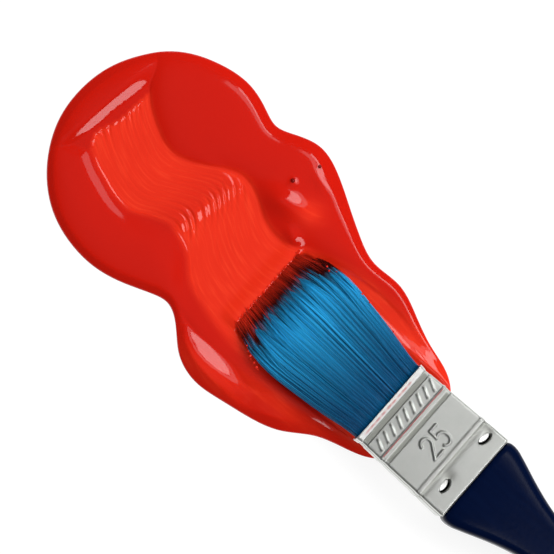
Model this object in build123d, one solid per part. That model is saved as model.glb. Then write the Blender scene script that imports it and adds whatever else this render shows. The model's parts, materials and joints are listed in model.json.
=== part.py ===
"""A flat one-inch paint brush lying in the pool of red paint that it has just been drawn through.

Frame: +X runs along the brush from the filament tips to the end of the handle, +Y is across the
brush, +Z is up.  The origin is on the table, straight below the middle of the ferrule's mouth.
Units are millimetres.  Every sub-part of the brush is drawn in the brush's own frame, with its
origin in the middle of the ferrule's mouth, and BRUSH then lays it down on the table.
"""
from build123d import *
import os

os.makedirs("parts", exist_ok=True)

# ---- driving dimensions -------------------------------------------------------------------

# How the brush lies: the handle rests on the table, rolled a little onto its +Y edge.
AXIS_HEIGHT = 8.0        # middle of the ferrule's mouth above the table
ROLL = -7.0              # about +X
PITCH = 1.2              # about +Y, tail of the handle down

# Ferrule: a tinplate sleeve, flatter and narrower at the mouth.
SHEET = 0.35             # thickness of the tinplate
FERRULE_LENGTH = 30.8
MOUTH_WIDTH = 26.0
MOUTH_THICKNESS = 6.6
END_WIDTH = 27.2
END_THICKNESS = 11.0
CORNER_SHARE = 0.25      # corner radius of the sleeve, as a share of its thickness
HOOPS = [(0.9, 1.6, 0.30), (8.6, 0.9, 0.30), (21.8, 1.1, 0.25)]    # place, width and rise
BEAD_ROW = 5.9           # middle of the row of slanted beads
BEAD_LENGTH = 3.4
BEAD_WIDTH = 0.7
BEAD_RISE = 0.25
BEAD_PITCH = 2.7
BEAD_COUNT = 9
BEAD_SLANT = 25.0
SLOTS = [(25.6, 9.6, 16.0), (25.8, -7.0, 5.0)]    # place along, place across and slant
SLOT_LENGTH = 4.8
SLOT_WIDTH = 2.2
TONGUE_SHARE = 0.6       # width of the tongue lanced out of a slot, as a share of its length
TONGUE_BEND = 32.0       # how far the tongue is bent inwards

# Handle: lacquered wood, as sections (distance behind the ferrule, width, thickness).
HANDLE_SECTIONS = [
    (0.0, 27.2, 11.0),
    (3.2, 28.2, 11.7),
    (8.2, 24.6, 11.7),
    (18.0, 17.6, 11.2),
    (32.0, 12.4, 10.4),
    (52.0, 13.6, 10.0),
    (80.0, 17.2, 9.8),
    (102.0, 16.4, 9.2),
    (118.0, 13.6, 8.6),
]
HANDLE_CORNER_SHARE = 0.40
SHOULDER_SECTIONS = 3    # the first sections make the straight-sided shoulder
TAIL_RADIUS = 7.6
HANG_HOLE_RADIUS = 3.0
HANG_HOLE_PLACE = 108.0  # behind the ferrule
TENON_LENGTH = 11.0
FIT_GAP = 0.1            # between the sleeve and what is pushed into it
POCKET = (3.6, 4.6, 5.0)    # in the tenon for a tongue: along, across and deep

# What the sleeve holds.
ROOT_LENGTH = 13.0       # filaments inside the sleeve
EPOXY_LENGTH = 4.0
SPACER_LENGTH = 11.0
SPACER_WIDTH = 19.0
SPACER_THICKNESS = 1.8
SPACER_START = 0.6       # behind the mouth

# Free filaments, as sections of the whole tuft:
# (place, width, thickness, shift across, shift up, twist back to level)
TUFT_SECTIONS = [
    (0.0, 25.0, 5.9, 0.0, 0.0, 0.0),
    (-10.0, 28.0, 5.9, 0.4, -0.4, 0.5),
    (-20.0, 30.8, 5.5, 1.0, -1.2, 1.5),
    (-30.0, 33.0, 4.7, 1.6, -3.0, 4.0),
    (-37.5, 31.4, 3.5, 2.0, -5.0, 6.5),
    (-44.5, 27.0, 1.7, 2.3, -6.9, 7.0),
]
UPPER_END = -38.0        # the upper filaments stop here, the others run on to the last section
UPPER_SHARE = 0.34       # of the tuft's thickness
LOWER_SHARE = 0.33
LAYER_GAP = 0.12
PAINT_LOAD_END = -43.6
HINGE_CLEARANCE = 0.4    # between the tuft's round base and the mouth, at any bend

# Paint pool: its outline on the table, clockwise from the far left.
POOL_OUTLINE = [
    (-110.2, 28.4), (-103.0, 34.7), (-94.5, 38.2), (-85.0, 39.4), (-77.0, 37.3), (-72.0, 35.8),
    (-67.0, 37.3), (-59.0, 39.6), (-50.5, 37.2), (-42.5, 32.8), (-34.5, 28.4), (-27.5, 25.8),
    (-18.5, 25.9), (-8.5, 22.4), (0.0, 19.0), (7.5, 16.6), (12.6, 12.2), (14.6, 4.0),
    (13.4, -6.5), (8.7, -13.5), (0.7, -17.1), (-7.9, -20.1), (-15.7, -25.2), (-24.3, -28.2),
    (-33.0, -29.8), (-42.0, -30.8), (-50.5, -28.0), (-57.4, -21.9), (-62.0, -19.8),
    (-66.5, -20.7), (-74.5, -23.8), (-83.3, -25.8), (-92.4, -25.3), (-101.3, -22.3),
    (-108.6, -16.9), (-114.2, -9.5), (-117.5, -1.3), (-118.3, 7.5), (-116.8, 16.5),
]
POOL_THICKNESS = 3.2     # of the banks left by the stroke
POOL_FRONT_THICKNESS = 1.1    # where the pool runs out under the ferrule
POOL_RIM_RADIUS = 1.1
TRACK_FLOOR = 1.2        # paint left in the brush's track
TRACK_FAR = [(-104.0, 17.5), (-95.0, 12.2), (-86.4, 10.9), (-78.7, 14.5), (-70.2, 19.0),
             (-63.6, 17.9), (-57.7, 14.1), (-49.5, 12.3), (-43.0, 14.0)]
TRACK_NEAR = [(-43.0, -12.0), (-53.9, -13.3), (-61.0, -10.6), (-67.4, -5.5), (-74.3, -2.6),
              (-80.8, -5.5), (-90.0, -7.4), (-106.0, -2.0)]
TUFT_BED = [(-47.5, 0.8), (-34.0, 0.8), (-8.0, 2.35)]    # floor of the hollow under the tuft
TUFT_MARGIN = 1.4        # between the tuft and the sides of that hollow
ABOVE_ALL = 30.0         # taller than anything in the model

BRUSH = Pos(0, 0, AXIS_HEIGHT) * Rot(ROLL, PITCH, 0)


# ---- helpers ------------------------------------------------------------------------------

def cross_section(x, width, thickness, radius, across=0.0, up=0.0, twist=0.0):
    """A rounded rectangle square to the brush's axis, at x."""
    plane = Plane(origin=(x, across, up), x_dir=(0, 1, 0), z_dir=(1, 0, 0))
    return plane * Rot(0, 0, twist) * RectangleRounded(width, thickness, radius)


def sleeve_section(x, inset):
    """The sleeve's section at x, drawn in by inset."""
    share = x / FERRULE_LENGTH
    width = MOUTH_WIDTH + (END_WIDTH - MOUTH_WIDTH) * share - 2 * inset
    thickness = MOUTH_THICKNESS + (END_THICKNESS - MOUTH_THICKNESS) * share - 2 * inset
    return cross_section(x, width, thickness, CORNER_SHARE * thickness)


def face_height(x):
    """How far the sleeve's broad faces stand from the brush's axis, at x."""
    rise = (END_THICKNESS - MOUTH_THICKNESS) / 2
    return MOUTH_THICKNESS / 2 + rise * x / FERRULE_LENGTH


def sleeve_fill(start, end, inset):
    """A solid that fills the sleeve between two places, inset from its outer face."""
    return loft([sleeve_section(start, inset), sleeve_section(end, inset)])


def tuft_layer(low, high, end):
    """The part of the tuft between two shares of its thickness, from the mouth to end."""
    stations = [station for station in TUFT_SECTIONS if station[0] > end]
    stations.append(tuft_station(end))
    faces = []
    for x, width, thickness, across, up, twist in stations:
        layer = (high - low) * thickness - LAYER_GAP
        middle = up + (0.5 * (high + low) - 0.5) * thickness
        faces.append(cross_section(x, width, layer, 0.3 * layer, across, middle, twist))
    return loft(faces[::-1]) & tuft_envelope()


def tuft_station(x):
    """The tuft's section at x, between the two listed sections beside it."""
    for before, after in zip(TUFT_SECTIONS, TUFT_SECTIONS[1:]):
        if after[0] <= x <= before[0]:
            share = (x - before[0]) / (after[0] - before[0])
            return [a + (b - a) * share for a, b in zip(before, after)]


def tuft_envelope():
    """Everything that clears the mouth while the tuft bends: a cylinder about the hinge and the
    space in front of it."""
    hinge = hinge_place()
    radius = -hinge - HINGE_CLEARANCE
    barrel = Pos(hinge, 0, 0) * Rot(90, 0, 0) * Cylinder(radius, 60)
    front = Pos(hinge - 50, 0, 0) * Box(100, 60, 40)
    return barrel + front


def hinge_place():
    """Where along the brush the tuft's base turns."""
    return -(TUFT_SECTIONS[0][2] / 2 + HINGE_CLEARANCE)


# ---- the brush ----------------------------------------------------------------------------

def ferrule():
    shell = sleeve_fill(0, FERRULE_LENGTH, 0)
    for place, width, rise in HOOPS:
        shell += sleeve_fill(place - width / 2, place + width / 2, -rise)
    shell += slanted_beads()
    shell -= sleeve_fill(0, FERRULE_LENGTH, SHEET)
    for place, across, slant in SLOTS:
        opening = extrude(Pos(place, across) * Rot(0, 0, 90 - slant)
                          * SlotOverall(SLOT_LENGTH, SLOT_WIDTH), ABOVE_ALL / 2, both=True)
        shell -= opening
        for side in (0, 180):
            shell += Rot(side, 0, 0) * tongue(place, across if side == 0 else -across, slant, side)
    return shell


def slanted_beads():
    """A row of short raised beads across each broad face, set in a little from its edges."""
    beads = []
    bead = SlotOverall(BEAD_LENGTH, BEAD_WIDTH)
    top = face_height(BEAD_ROW + BEAD_LENGTH / 2) + BEAD_RISE / 2
    for index in range(BEAD_COUNT):
        across = (index - (BEAD_COUNT - 1) / 2) * BEAD_PITCH
        outline = Pos(BEAD_ROW, across) * Rot(0, 0, -BEAD_SLANT) * bead
        beads.append(extrude(outline, top, both=True))
    return beads


def tongue(place, across, slant, side):
    """The flap lanced out of a slot, hinged on its mouth side and bent inwards."""
    root = place - SLOT_WIDTH / 2 - SHEET
    turn = slant if side == 0 else -slant
    flap = Pos(SLOT_WIDTH / 2, 0, 0) * Box(SLOT_WIDTH, SLOT_LENGTH * TONGUE_SHARE, SHEET)
    bent = Rot(0, 0, -turn) * Rot(0, TONGUE_BEND, 0) * flap
    return Pos(root, across, face_height(root) - SHEET / 2) * bent


def handle():
    faces = []
    for back, width, thickness in HANDLE_SECTIONS:
        radius = HANDLE_CORNER_SHARE * thickness
        faces.append(cross_section(FERRULE_LENGTH + back, width, thickness, radius))
    grip = loft(faces[:SHOULDER_SECTIONS], ruled=True) + loft(faces[SHOULDER_SECTIONS - 1:])
    tail = FERRULE_LENGTH + HANDLE_SECTIONS[-1][0]
    round_end = Pos(tail - TAIL_RADIUS, 0) * Circle(TAIL_RADIUS)
    body = Pos((FERRULE_LENGTH + tail - TAIL_RADIUS) / 2, 0) * Rectangle(
        tail - TAIL_RADIUS - FERRULE_LENGTH, 40)
    grip &= extrude(round_end + body, ABOVE_ALL / 2, both=True)
    hole = Pos(FERRULE_LENGTH + HANG_HOLE_PLACE, 0, 0) * Cylinder(HANG_HOLE_RADIUS, ABOVE_ALL)
    tenon = sleeve_fill(FERRULE_LENGTH - TENON_LENGTH, FERRULE_LENGTH, SHEET + FIT_GAP)
    for place, across, slant in SLOTS:
        for side in (1, -1):
            middle = Pos(place, across, side * END_THICKNESS / 2)
            tenon -= middle * Rot(0, 0, -slant) * Box(*POCKET)
    return grip + tenon - hole


def spacer_plug():
    middle = SPACER_START + SPACER_LENGTH / 2
    return Pos(middle, 0, 0) * Box(SPACER_LENGTH, SPACER_WIDTH, SPACER_THICKNESS)


def filament_roots():
    roots = sleeve_fill(0, ROOT_LENGTH, SHEET + FIT_GAP)
    room = Box(ROOT_LENGTH, SPACER_WIDTH + 2 * FIT_GAP, SPACER_THICKNESS + 2 * FIT_GAP)
    return roots - Pos(ROOT_LENGTH / 2 + SPACER_START - FIT_GAP, 0, 0) * room


def epoxy_setting():
    start = ROOT_LENGTH + FIT_GAP
    return sleeve_fill(start, start + EPOXY_LENGTH, SHEET + FIT_GAP)


def paint_load():
    """Paint held on top of the longer filaments, in front of the upper ones."""
    faces = []
    for x in (UPPER_END - 0.3, PAINT_LOAD_END):
        x, width, thickness, across, up, twist = tuft_station(x)
        layer = 0.6 * UPPER_SHARE * thickness
        middle = up + (0.5 - 0.4 * UPPER_SHARE) * thickness
        faces.append(cross_section(x, width - 1.5, layer, 0.3 * layer, across, middle, twist))
    return loft(faces[::-1])


# ---- the paint ----------------------------------------------------------------------------

def paint_pool():
    rim = Spline(POOL_OUTLINE, periodic=True)
    pool = extrude(make_face(rim), POOL_THICKNESS)
    pool = pool & thickness_wedge()
    top_edges = pool.edges().filter_by(lambda edge: edge.center().Z > POOL_FRONT_THICKNESS)
    pool = fillet(top_edges, POOL_RIM_RADIUS)
    return pool - track() - tuft_hollow()


def thickness_wedge():
    """Falls from the banks' thickness, behind the tuft, to the front of the pool."""
    profile = Polygon((-130, 0), (-130, POOL_THICKNESS), (-40, POOL_THICKNESS),
                      (20, POOL_FRONT_THICKNESS), (20, 0), align=None)
    return extrude(Plane.XZ * profile, 60, both=True)


def track():
    """The brush's winding track through the paint."""
    far = Spline(TRACK_FAR)
    near = Spline(TRACK_NEAR)
    start = Line(TRACK_NEAR[-1], TRACK_FAR[0])
    end = Line(TRACK_FAR[-1], TRACK_NEAR[0])
    return Pos(0, 0, TRACK_FLOOR) * extrude(make_face([far, end, near, start]), ABOVE_ALL)


def tuft_hollow():
    """The hollow that the tuft lies in, with upright sides and a floor that rises to the mouth."""
    far = []
    near = []
    for x, width, thickness, across, up, twist in TUFT_SECTIONS:
        half = width / 2 + TUFT_MARGIN
        far.append((x, across + half))
        near.append((x, across - half))
    far.append((TUFT_BED[0][0], far[-1][1]))
    near.append((TUFT_BED[0][0], near[-1][1]))
    plan = extrude(Polygon(*far, *near[::-1], align=None), ABOVE_ALL)
    floor = [*TUFT_BED, (TUFT_BED[-1][0], ABOVE_ALL), (TUFT_BED[0][0], ABOVE_ALL)]
    side = extrude(Plane.XZ * Polygon(*floor, align=None), 60, both=True)
    return plan & side


# ---- writing the sub-parts ----------------------------------------------------------------

CORE_LOW = LOWER_SHARE
CORE_HIGH = 1 - UPPER_SHARE
TIPS = TUFT_SECTIONS[-1][0]

on_table = {"paint_pool": paint_pool()}
on_brush = {
    "handle": handle(),
    "ferrule": ferrule(),
    "spacer_plug": spacer_plug(),
    "filament_roots": filament_roots(),
    "epoxy_setting": epoxy_setting(),
    "upper_filaments": tuft_layer(CORE_HIGH, 1, UPPER_END),
    "core_filaments": tuft_layer(CORE_LOW, CORE_HIGH, TIPS),
    "lower_filaments": tuft_layer(0, CORE_LOW, TIPS + 1.5),
    "paint_load": paint_load(),
}
for name, shape in on_table.items():
    export_step(shape, f"parts/{name}.step")
for name, shape in on_brush.items():
    export_step(BRUSH * shape, f"parts/{name}.step")
hinge = BRUSH * Pos(hinge_place(), 0, 0)
print("tuft hinge at", hinge.position, "axis", (BRUSH * Pos(0, 1, 0)).position - BRUSH.position)
hole = BRUSH * Pos(FERRULE_LENGTH + HANG_HOLE_PLACE, 0, 0)
print("hang hole at", hole.position, "axis", (BRUSH * Pos(0, 0, 1)).position - BRUSH.position)
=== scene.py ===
# %% [markdown]
# # A flat paint brush lying in the red paint that it was drawn through
#
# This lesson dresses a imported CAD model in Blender.  The CAD model fixes where everything is and
# how it moves.  Each surface that shows is worked out here with numpy: the wet paint as a height
# over the table, the tuft as thousands of single filaments, the stamped tinplate ferrule, and the
# lacquered handle.  Lengths in the formulas are millimetres, and the meshes are in metres.

# %% Load the frame
import bpy
import json
import math
import numpy as np
from mathutils import Matrix, Vector


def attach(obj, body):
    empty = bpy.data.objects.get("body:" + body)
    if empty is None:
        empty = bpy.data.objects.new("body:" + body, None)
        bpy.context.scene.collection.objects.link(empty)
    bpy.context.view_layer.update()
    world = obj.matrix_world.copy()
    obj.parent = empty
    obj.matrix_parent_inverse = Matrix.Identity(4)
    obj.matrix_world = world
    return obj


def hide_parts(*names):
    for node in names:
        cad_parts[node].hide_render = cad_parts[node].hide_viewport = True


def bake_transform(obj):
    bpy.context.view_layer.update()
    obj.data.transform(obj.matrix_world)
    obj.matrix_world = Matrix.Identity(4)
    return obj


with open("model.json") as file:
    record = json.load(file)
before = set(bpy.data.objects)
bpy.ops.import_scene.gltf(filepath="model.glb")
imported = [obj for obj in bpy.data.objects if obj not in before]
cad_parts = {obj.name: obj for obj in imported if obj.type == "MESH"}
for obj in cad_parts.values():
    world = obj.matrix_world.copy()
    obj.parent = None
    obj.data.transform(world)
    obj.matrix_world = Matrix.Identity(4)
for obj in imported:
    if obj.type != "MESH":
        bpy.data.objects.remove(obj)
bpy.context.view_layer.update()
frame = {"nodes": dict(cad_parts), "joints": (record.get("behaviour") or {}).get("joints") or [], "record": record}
MM = 0.001

# %% [markdown]
# ## The brush's own frame
#
# The brush lies a little rolled and tilted, so its pieces are drawn in a frame of their own: x runs
# from the ferrule's mouth towards the handle, y across the brush, z out of its upper face.  Two
# facts in the record give that frame.  The axis about which the tuft bends lies across the brush,
# and the hang hole is bored square to the handle's flat.

# %% The brush's frame, from the record
record = frame["record"]
flex = next(joint for joint in frame["joints"] if joint["name"] == "tuft_flex")
hang_hole = next(mount for mount in record["mounts"] if mount["name"] == "hang_hole")
ACROSS = np.array(flex["axis"], float)
UP = np.array(hang_hole["axis"], float)
ALONG = np.cross(ACROSS, UP)
HINGE = np.array(flex["pos_m"], float) / MM
HINGE_BEFORE_MOUTH = 3.35
MOUTH = HINGE + HINGE_BEFORE_MOUTH * ALONG
BRUSH_AXES = np.array([ALONG, ACROSS, UP])


def to_world(points):
    """Brush points in mm, as (..., 3), moved into the shared frame: mouth + x along + y across
    + z up."""
    return MOUTH + points @ BRUSH_AXES


def to_brush(points):
    """The inverse: the same points measured along the brush's three axes from the mouth."""
    return (points - MOUTH) @ BRUSH_AXES.T


def node_corners(node):
    """All mesh vertices of a CAD node in mm, and its triangles as rows of three vertex numbers."""
    mesh = frame["nodes"][node].data
    mesh.calc_loop_triangles()
    points = np.empty(len(mesh.vertices) * 3)
    mesh.vertices.foreach_get("co", points)
    corners = np.empty(len(mesh.loop_triangles) * 3, int)
    mesh.loop_triangles.foreach_get("vertices", corners)
    return points.reshape(-1, 3) / MM, corners.reshape(-1, 3)


def girth(node, places):
    """Half the width and half the thickness of a node at each place along the brush: every triangle
    edge that crosses the plane there is cut, and the widest cut in y and in z is taken."""
    points, corners = node_corners(node)
    points = to_brush(points)
    tails = points[corners].reshape(-1, 3)
    heads = points[np.roll(corners, -1, axis=1)].reshape(-1, 3)
    sizes = []
    for place in places:
        crossing = (tails[:, 0] - place) * (heads[:, 0] - place) <= 0
        a, b = tails[crossing], heads[crossing]
        share = (place - a[:, :1]) / np.where(abs(b - a)[:, :1] > 1e-9, (b - a)[:, :1], 1e-9)
        cut = a + np.clip(share, 0, 1) * (b - a)
        sizes.append(abs(cut[:, 1:]).max(axis=0))
    return np.array(sizes)


ferrule_places = to_brush(node_corners("ferrule")[0])[:, 0]
handle_places = to_brush(node_corners("handle")[0])[:, 0]
FERRULE_LENGTH = ferrule_places.max()
HANDLE_END = handle_places.max()
print(f"ferrule {FERRULE_LENGTH:.1f} mm long, handle to {HANDLE_END:.1f} mm behind the mouth")

# %% [markdown]
# ## The camera
#
# The camera looks straight down from 600 mm, turned so that the handle points to the lower right.
# A wide lens from close by would splay the handle, so a long lens keeps the perspective flat.

# %% Camera
PICTURE_CENTRE = np.array([-44.4, 5.3])
CAMERA_HEIGHT = 600.0
CAMERA_TURN = math.radians(41.8)
LENS_TO_SENSOR = 3.98
SENSOR_WIDTH = 36.0
NEAREST_SEEN = 10.0

camera = bpy.data.objects.new("camera", bpy.data.cameras.new("camera"))
bpy.context.collection.objects.link(camera)
camera.location = (*(PICTURE_CENTRE * MM), CAMERA_HEIGHT * MM)
camera.rotation_euler = (0, 0, CAMERA_TURN)
camera.data.sensor_width = SENSOR_WIDTH
camera.data.lens = LENS_TO_SENSOR * SENSOR_WIDTH
camera.data.clip_start = NEAREST_SEEN * MM
bpy.context.scene.camera = camera
bpy.context.scene.view_settings.view_transform = "Standard"
print(f"camera {CAMERA_HEIGHT:.0f} mm up, sees {CAMERA_HEIGHT / LENS_TO_SENSOR:.0f} mm across")

# %% [markdown]
# ## The light
#
# Wet paint shows its shape by what it mirrors.  One large lamp overhead would lay a grey image of
# itself over all of it, so the light is two long softboxes: one beyond the far side of the brush
# and one beyond its handle.  Their sharp edges make the crisp, pale bars on the ridges that face
# them.  A weak reflector above the far softbox gives those bars a softer margin.  A wide fill,
# further out, evens the light on the brush, and wet surfaces don't mirror it.

# %% Softboxes


def softbox(name, centre, half_width, half_height, watts, mirrored):
    """A rectangular light.  The two half sides are vectors in mm that span it, and it shines along
    their cross product reversed, so their order decides which way it faces."""
    light = bpy.data.lights.new(name, "AREA")
    light.shape = "RECTANGLE"
    u, v = Vector(half_width), Vector(half_height)
    light.size = 2 * u.length * MM
    light.size_y = 2 * v.length * MM
    light.energy = watts
    lamp = bpy.data.objects.new(name, light)
    u.normalize()
    v.normalize()
    turn = Matrix((u, v, u.cross(v))).transposed().to_4x4()
    lamp.matrix_world = Matrix.Translation(Vector(centre) * MM) @ turn
    lamp.visible_glossy = mirrored
    bpy.context.collection.objects.link(lamp)
    return lamp


# name, centre, half width, half height, watts, whether wet surfaces mirror it
LIGHTS = [
    ("far_softbox", (78, 330, 430), (205, 0, 0), (0, 45, -35), 0.64, True),
    ("end_softbox", (270, -20, 480), (0, 170, 0), (-45, 0, 30), 0.49, True),
    ("far_reflector", (60, 252, 489), (230, 0, 0), (0, 27, -14), 0.12, True),
    ("far_fill", (80, 560, 600), (600, 0, 0), (0, 260, -243), 5.4, False),
]
for row in LIGHTS:
    lamp = softbox(*row)
    print(f"{lamp.name}: {lamp.data.size:.2f} x {lamp.data.size_y:.2f} m, {lamp.data.energy:.2f} W")

# %% [markdown]
# The rest of the studio is a pale, even sky.  What a matt surface collects from it and what a
# mirror sees of it are set apart: overhead it is dim in reflections, as above a copy stand, so that
# the flat paint keeps its deep red instead of a grey veil.

# %% Sky
SKY_FOR_MATT = 0.74
SKY_OVERHEAD = 0.16
SKY_AT_HORIZON = 0.03
# z of the ray's reversed direction, which is -1 for a ray that goes straight up
OVERHEAD_FROM = -0.985
HORIZON_FROM = -0.85

world = bpy.data.worlds.new("studio")
bpy.context.scene.world = world
world.use_nodes = True
sky = world.node_tree
sky.nodes.clear()
direction = sky.nodes.new("ShaderNodeNewGeometry")
height = sky.nodes.new("ShaderNodeSeparateXYZ")
sky.links.new(direction.outputs["Incoming"], height.inputs[0])
fall = sky.nodes.new("ShaderNodeMapRange")
fall.interpolation_type = "SMOOTHSTEP"
for socket, amount in {"From Min": OVERHEAD_FROM, "From Max": HORIZON_FROM,
                       "To Min": SKY_OVERHEAD, "To Max": SKY_AT_HORIZON}.items():
    fall.inputs[socket].default_value = amount
sky.links.new(height.outputs["Z"], fall.inputs["Value"])
rays = sky.nodes.new("ShaderNodeLightPath")
choice = sky.nodes.new("ShaderNodeMix")
choice.inputs["A"].default_value = SKY_FOR_MATT
sky.links.new(rays.outputs["Is Glossy Ray"], choice.inputs["Factor"])
sky.links.new(fall.outputs["Result"], choice.inputs["B"])
background = sky.nodes.new("ShaderNodeBackground")
sky.links.new(choice.outputs["Result"], background.inputs["Strength"])
output = sky.nodes.new("ShaderNodeOutputWorld")
sky.links.new(background.outputs[0], output.inputs["Surface"])
print(f"sky {SKY_FOR_MATT} on matt surfaces, {SKY_OVERHEAD} to {SKY_AT_HORIZON} in mirrored rays")

# %% [markdown]
# ## Writing materials as formulas
#
# A material is easier to read as a formula than as a web of nodes.  `Amount` wraps a socket that
# carries a number, and adds a Math node for each operator.  `Finish` holds one Principled shader
# and makes every other kind of node from its type, its settings and its inputs.

# %% Shader maths


class Amount:
    """A number that varies over a surface.  Each operator adds its Math node."""

    def __init__(self, finish, socket):
        self.finish = finish
        self.socket = socket

    def maths(self, operation, *terms):
        node = self.finish.node("Math", {"operation": operation}, dict(enumerate(terms)))
        return Amount(self.finish, node.outputs[0])

    def __add__(self, other):
        return self.maths("ADD", self, other)

    def __mul__(self, other):
        return self.maths("MULTIPLY", self, other)

    def __sub__(self, other):
        return self.maths("SUBTRACT", self, other)

    def __rsub__(self, other):
        return self.maths("SUBTRACT", other, self)

    __radd__ = __add__

    def between(self, low, high):
        """0 below low, 1 above high, and a smooth S between them."""
        node = self.finish.node("MapRange", {"interpolation_type": "SMOOTHSTEP"},
                                {"Value": self, "From Min": low, "From Max": high})
        return Amount(self.finish, node.outputs["Result"])


class Finish:
    """One procedural material: a Principled shader and the nodes that feed it."""

    def __init__(self, name, **constants):
        self.material = bpy.data.materials.new(name)
        self.material.use_nodes = True
        self.tree = self.material.node_tree
        self.shader = self.tree.nodes["Principled BSDF"]
        for socket, amount in constants.items():
            self.shader.inputs[socket.replace("_", " ")].default_value = amount

    def node(self, kind, settings=None, inputs=None):
        """Any node: its settings are set first, and then its sockets are filled or linked."""
        node = self.tree.nodes.new("ShaderNode" + kind)
        for setting, choice in (settings or {}).items():
            setattr(node, setting, choice)
        for socket, term in (inputs or {}).items():
            self.feed(node.inputs[socket], term)
        return node

    def feed(self, socket, term):
        if isinstance(term, Amount):
            term = term.socket
        if isinstance(term, bpy.types.NodeSocket):
            self.tree.links.new(term, socket)
        else:
            socket.default_value = term

    def attribute(self, name):
        return Amount(self, self.node("Attribute", {"attribute_name": name}).outputs["Fac"])

    def place(self, scale=(1, 1, 1)):
        """The point on the piece in millimetres, stretched by scale."""
        coordinates = self.node("TexCoord").outputs["Object"]
        stretch = [s / MM for s in scale]
        return self.node("VectorMath", {"operation": "MULTIPLY"},
                         {0: coordinates, 1: stretch}).outputs[0]

    def grain(self, place, size, detail=2.0, roughness=0.5):
        """Noise from 0 to 1, whose blots are about size mm across where place is in mm."""
        node = self.node("TexNoise", None, {"Vector": place, "Scale": 1 / size, "Detail": detail,
                                            "Roughness": roughness})
        return Amount(self, node.outputs["Fac"])

    def blend(self, share, first, second):
        """The first colour where share is 0, and the second where it is 1."""
        node = self.node("Mix", {"data_type": "RGBA"}, {"Factor": share})
        for socket, colour in ((node.inputs[6], first), (node.inputs[7], second)):
            self.feed(socket, (*colour, 1) if isinstance(colour, tuple) else colour)
        return node.outputs[2]

    def set(self, socket, term):
        self.feed(self.shader.inputs[socket], term)

    def relief(self, amount, depth):
        """Bump of that height, which stands depth mm tall where it goes from 0 to 1."""
        node = self.node("Bump", None, {"Height": amount, "Distance": depth * MM})
        self.set("Normal", node.outputs["Normal"])

# %% [markdown]
# ## Surfaces from grids
#
# Every new piece is a grid of points with two parameters, worked out as whole arrays.  Editing
# meshes point by point would be slow and hard to change, so a few helpers turn such arrays into
# meshes, and hang numbers on their vertices for the materials to read.

# %% Grids into meshes


def make_piece(name, points, faces, finish, smooth=True):
    """A mesh object with points in mm of the shared frame and faces as rows of vertex numbers."""
    mesh = bpy.data.meshes.new(name)
    mesh.from_pydata((points * MM).tolist(), [], faces)
    mesh.validate()
    mesh.polygons.foreach_set("use_smooth", np.full(len(mesh.polygons), smooth))
    mesh.materials.append(finish.material)
    piece = bpy.data.objects.new(name, mesh)
    bpy.context.collection.objects.link(piece)
    print(f"{name}: {len(mesh.vertices)} points, {len(mesh.polygons)} faces")
    return piece


def grid_faces(rows, columns, wrap=True):
    """The four-sided faces of a grid whose points are numbered along each row in turn.  With wrap,
    the last column joins the first one."""
    row = np.arange(rows - 1)[:, None]
    column = np.arange(columns if wrap else columns - 1)[None, :]
    after = (column + 1) % columns
    corners = (row * columns + column, row * columns + after,
               (row + 1) * columns + after, (row + 1) * columns + column)
    return np.stack(np.broadcast_arrays(*corners), -1).reshape(-1, 4)


def skin(name, rows, finish):
    """A closed skin through rings of points (ring, point, 3).  Each end is closed by a fan of
    triangles to the middle of its ring."""
    count, around = rows.shape[:2]
    points = np.concatenate([rows.reshape(-1, 3), rows[[0, -1]].mean(axis=1)])
    ring = np.arange(around)
    after = (ring + 1) % around
    first = np.stack([after, ring, np.full(around, count * around)], -1)
    last_ring = (count - 1) * around
    last = np.stack([last_ring + ring, last_ring + after, np.full(around, count * around + 1)], -1)
    faces = grid_faces(count, around).tolist() + first.tolist() + last.tolist()
    return make_piece(name, points, faces, finish)


def mark(piece, name, amounts):
    """Hangs one number on each vertex, for the material to read as an attribute."""
    layer = piece.data.attributes.new(name, "FLOAT", "POINT")
    layer.data.foreach_set("value", np.ascontiguousarray(amounts, dtype=np.float32).ravel())

# %% [markdown]
# Shapes are put together from a few soft curves: a step, a window, a bell, a curve through points,
# and a random line made of waves.  They work on whole arrays of places at once.

# %% Soft curves


def ease(low, high, x):
    """0 at low, 1 at high, and the S-shaped 3t^2 - 2t^3 between them.  Low may be the greater."""
    t = np.clip((x - low) / (high - low), 0, 1)
    return t * t * (3 - 2 * t)


def window(x, opens, open_at, until, closed):
    """0 up to opens, 1 from open_at to until, and 0 again from closed on, with eased flanks."""
    return ease(opens, open_at, x) * (1 - ease(until, closed, x))


def smooth_max(a, b, softness):
    """The greater of two surfaces, with their meeting line rounded by a softness s:
    (a + b + sqrt((a - b)^2 + s)) / 2."""
    return (a + b + np.sqrt((a - b) ** 2 + softness)) / 2


def smooth_min(a, b, softness):
    """The lesser of two surfaces, rounded in the same way."""
    return -smooth_max(-a, -b, softness)


def bell(x, width):
    """1 at x = 0, falling away on both sides as exp(-x^2 / 2 width^2)."""
    return np.exp(-0.5 * (x / width) ** 2)


def curve_through(points, x):
    """A smooth curve through listed (x, y) points, as cubic pieces that share their slopes."""
    px, py = np.array(points, float).T
    slope = np.gradient(py, px)
    i = np.clip(np.searchsorted(px, x) - 1, 0, len(px) - 2)
    span = px[i + 1] - px[i]
    t = np.clip((x - px[i]) / span, 0, 1)
    return ((1 + 2 * t) * (1 - t) ** 2 * py[i] + t * (1 - t) ** 2 * span * slope[i]
            + t * t * (3 - 2 * t) * py[i + 1] + t * t * (t - 1) * span * slope[i + 1])


def ripples(x, seed, shortest, longest, waves=8):
    """A smooth random line: the sum of sine waves whose lengths lie between the two given."""
    draw = np.random.default_rng(seed)
    rate = 2 * np.pi / draw.uniform(shortest, longest, waves)
    phase = draw.uniform(0, 2 * np.pi, waves)
    return sum(np.sin(r * x + p) for r, p in zip(rate, phase)) / math.sqrt(waves)


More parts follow.
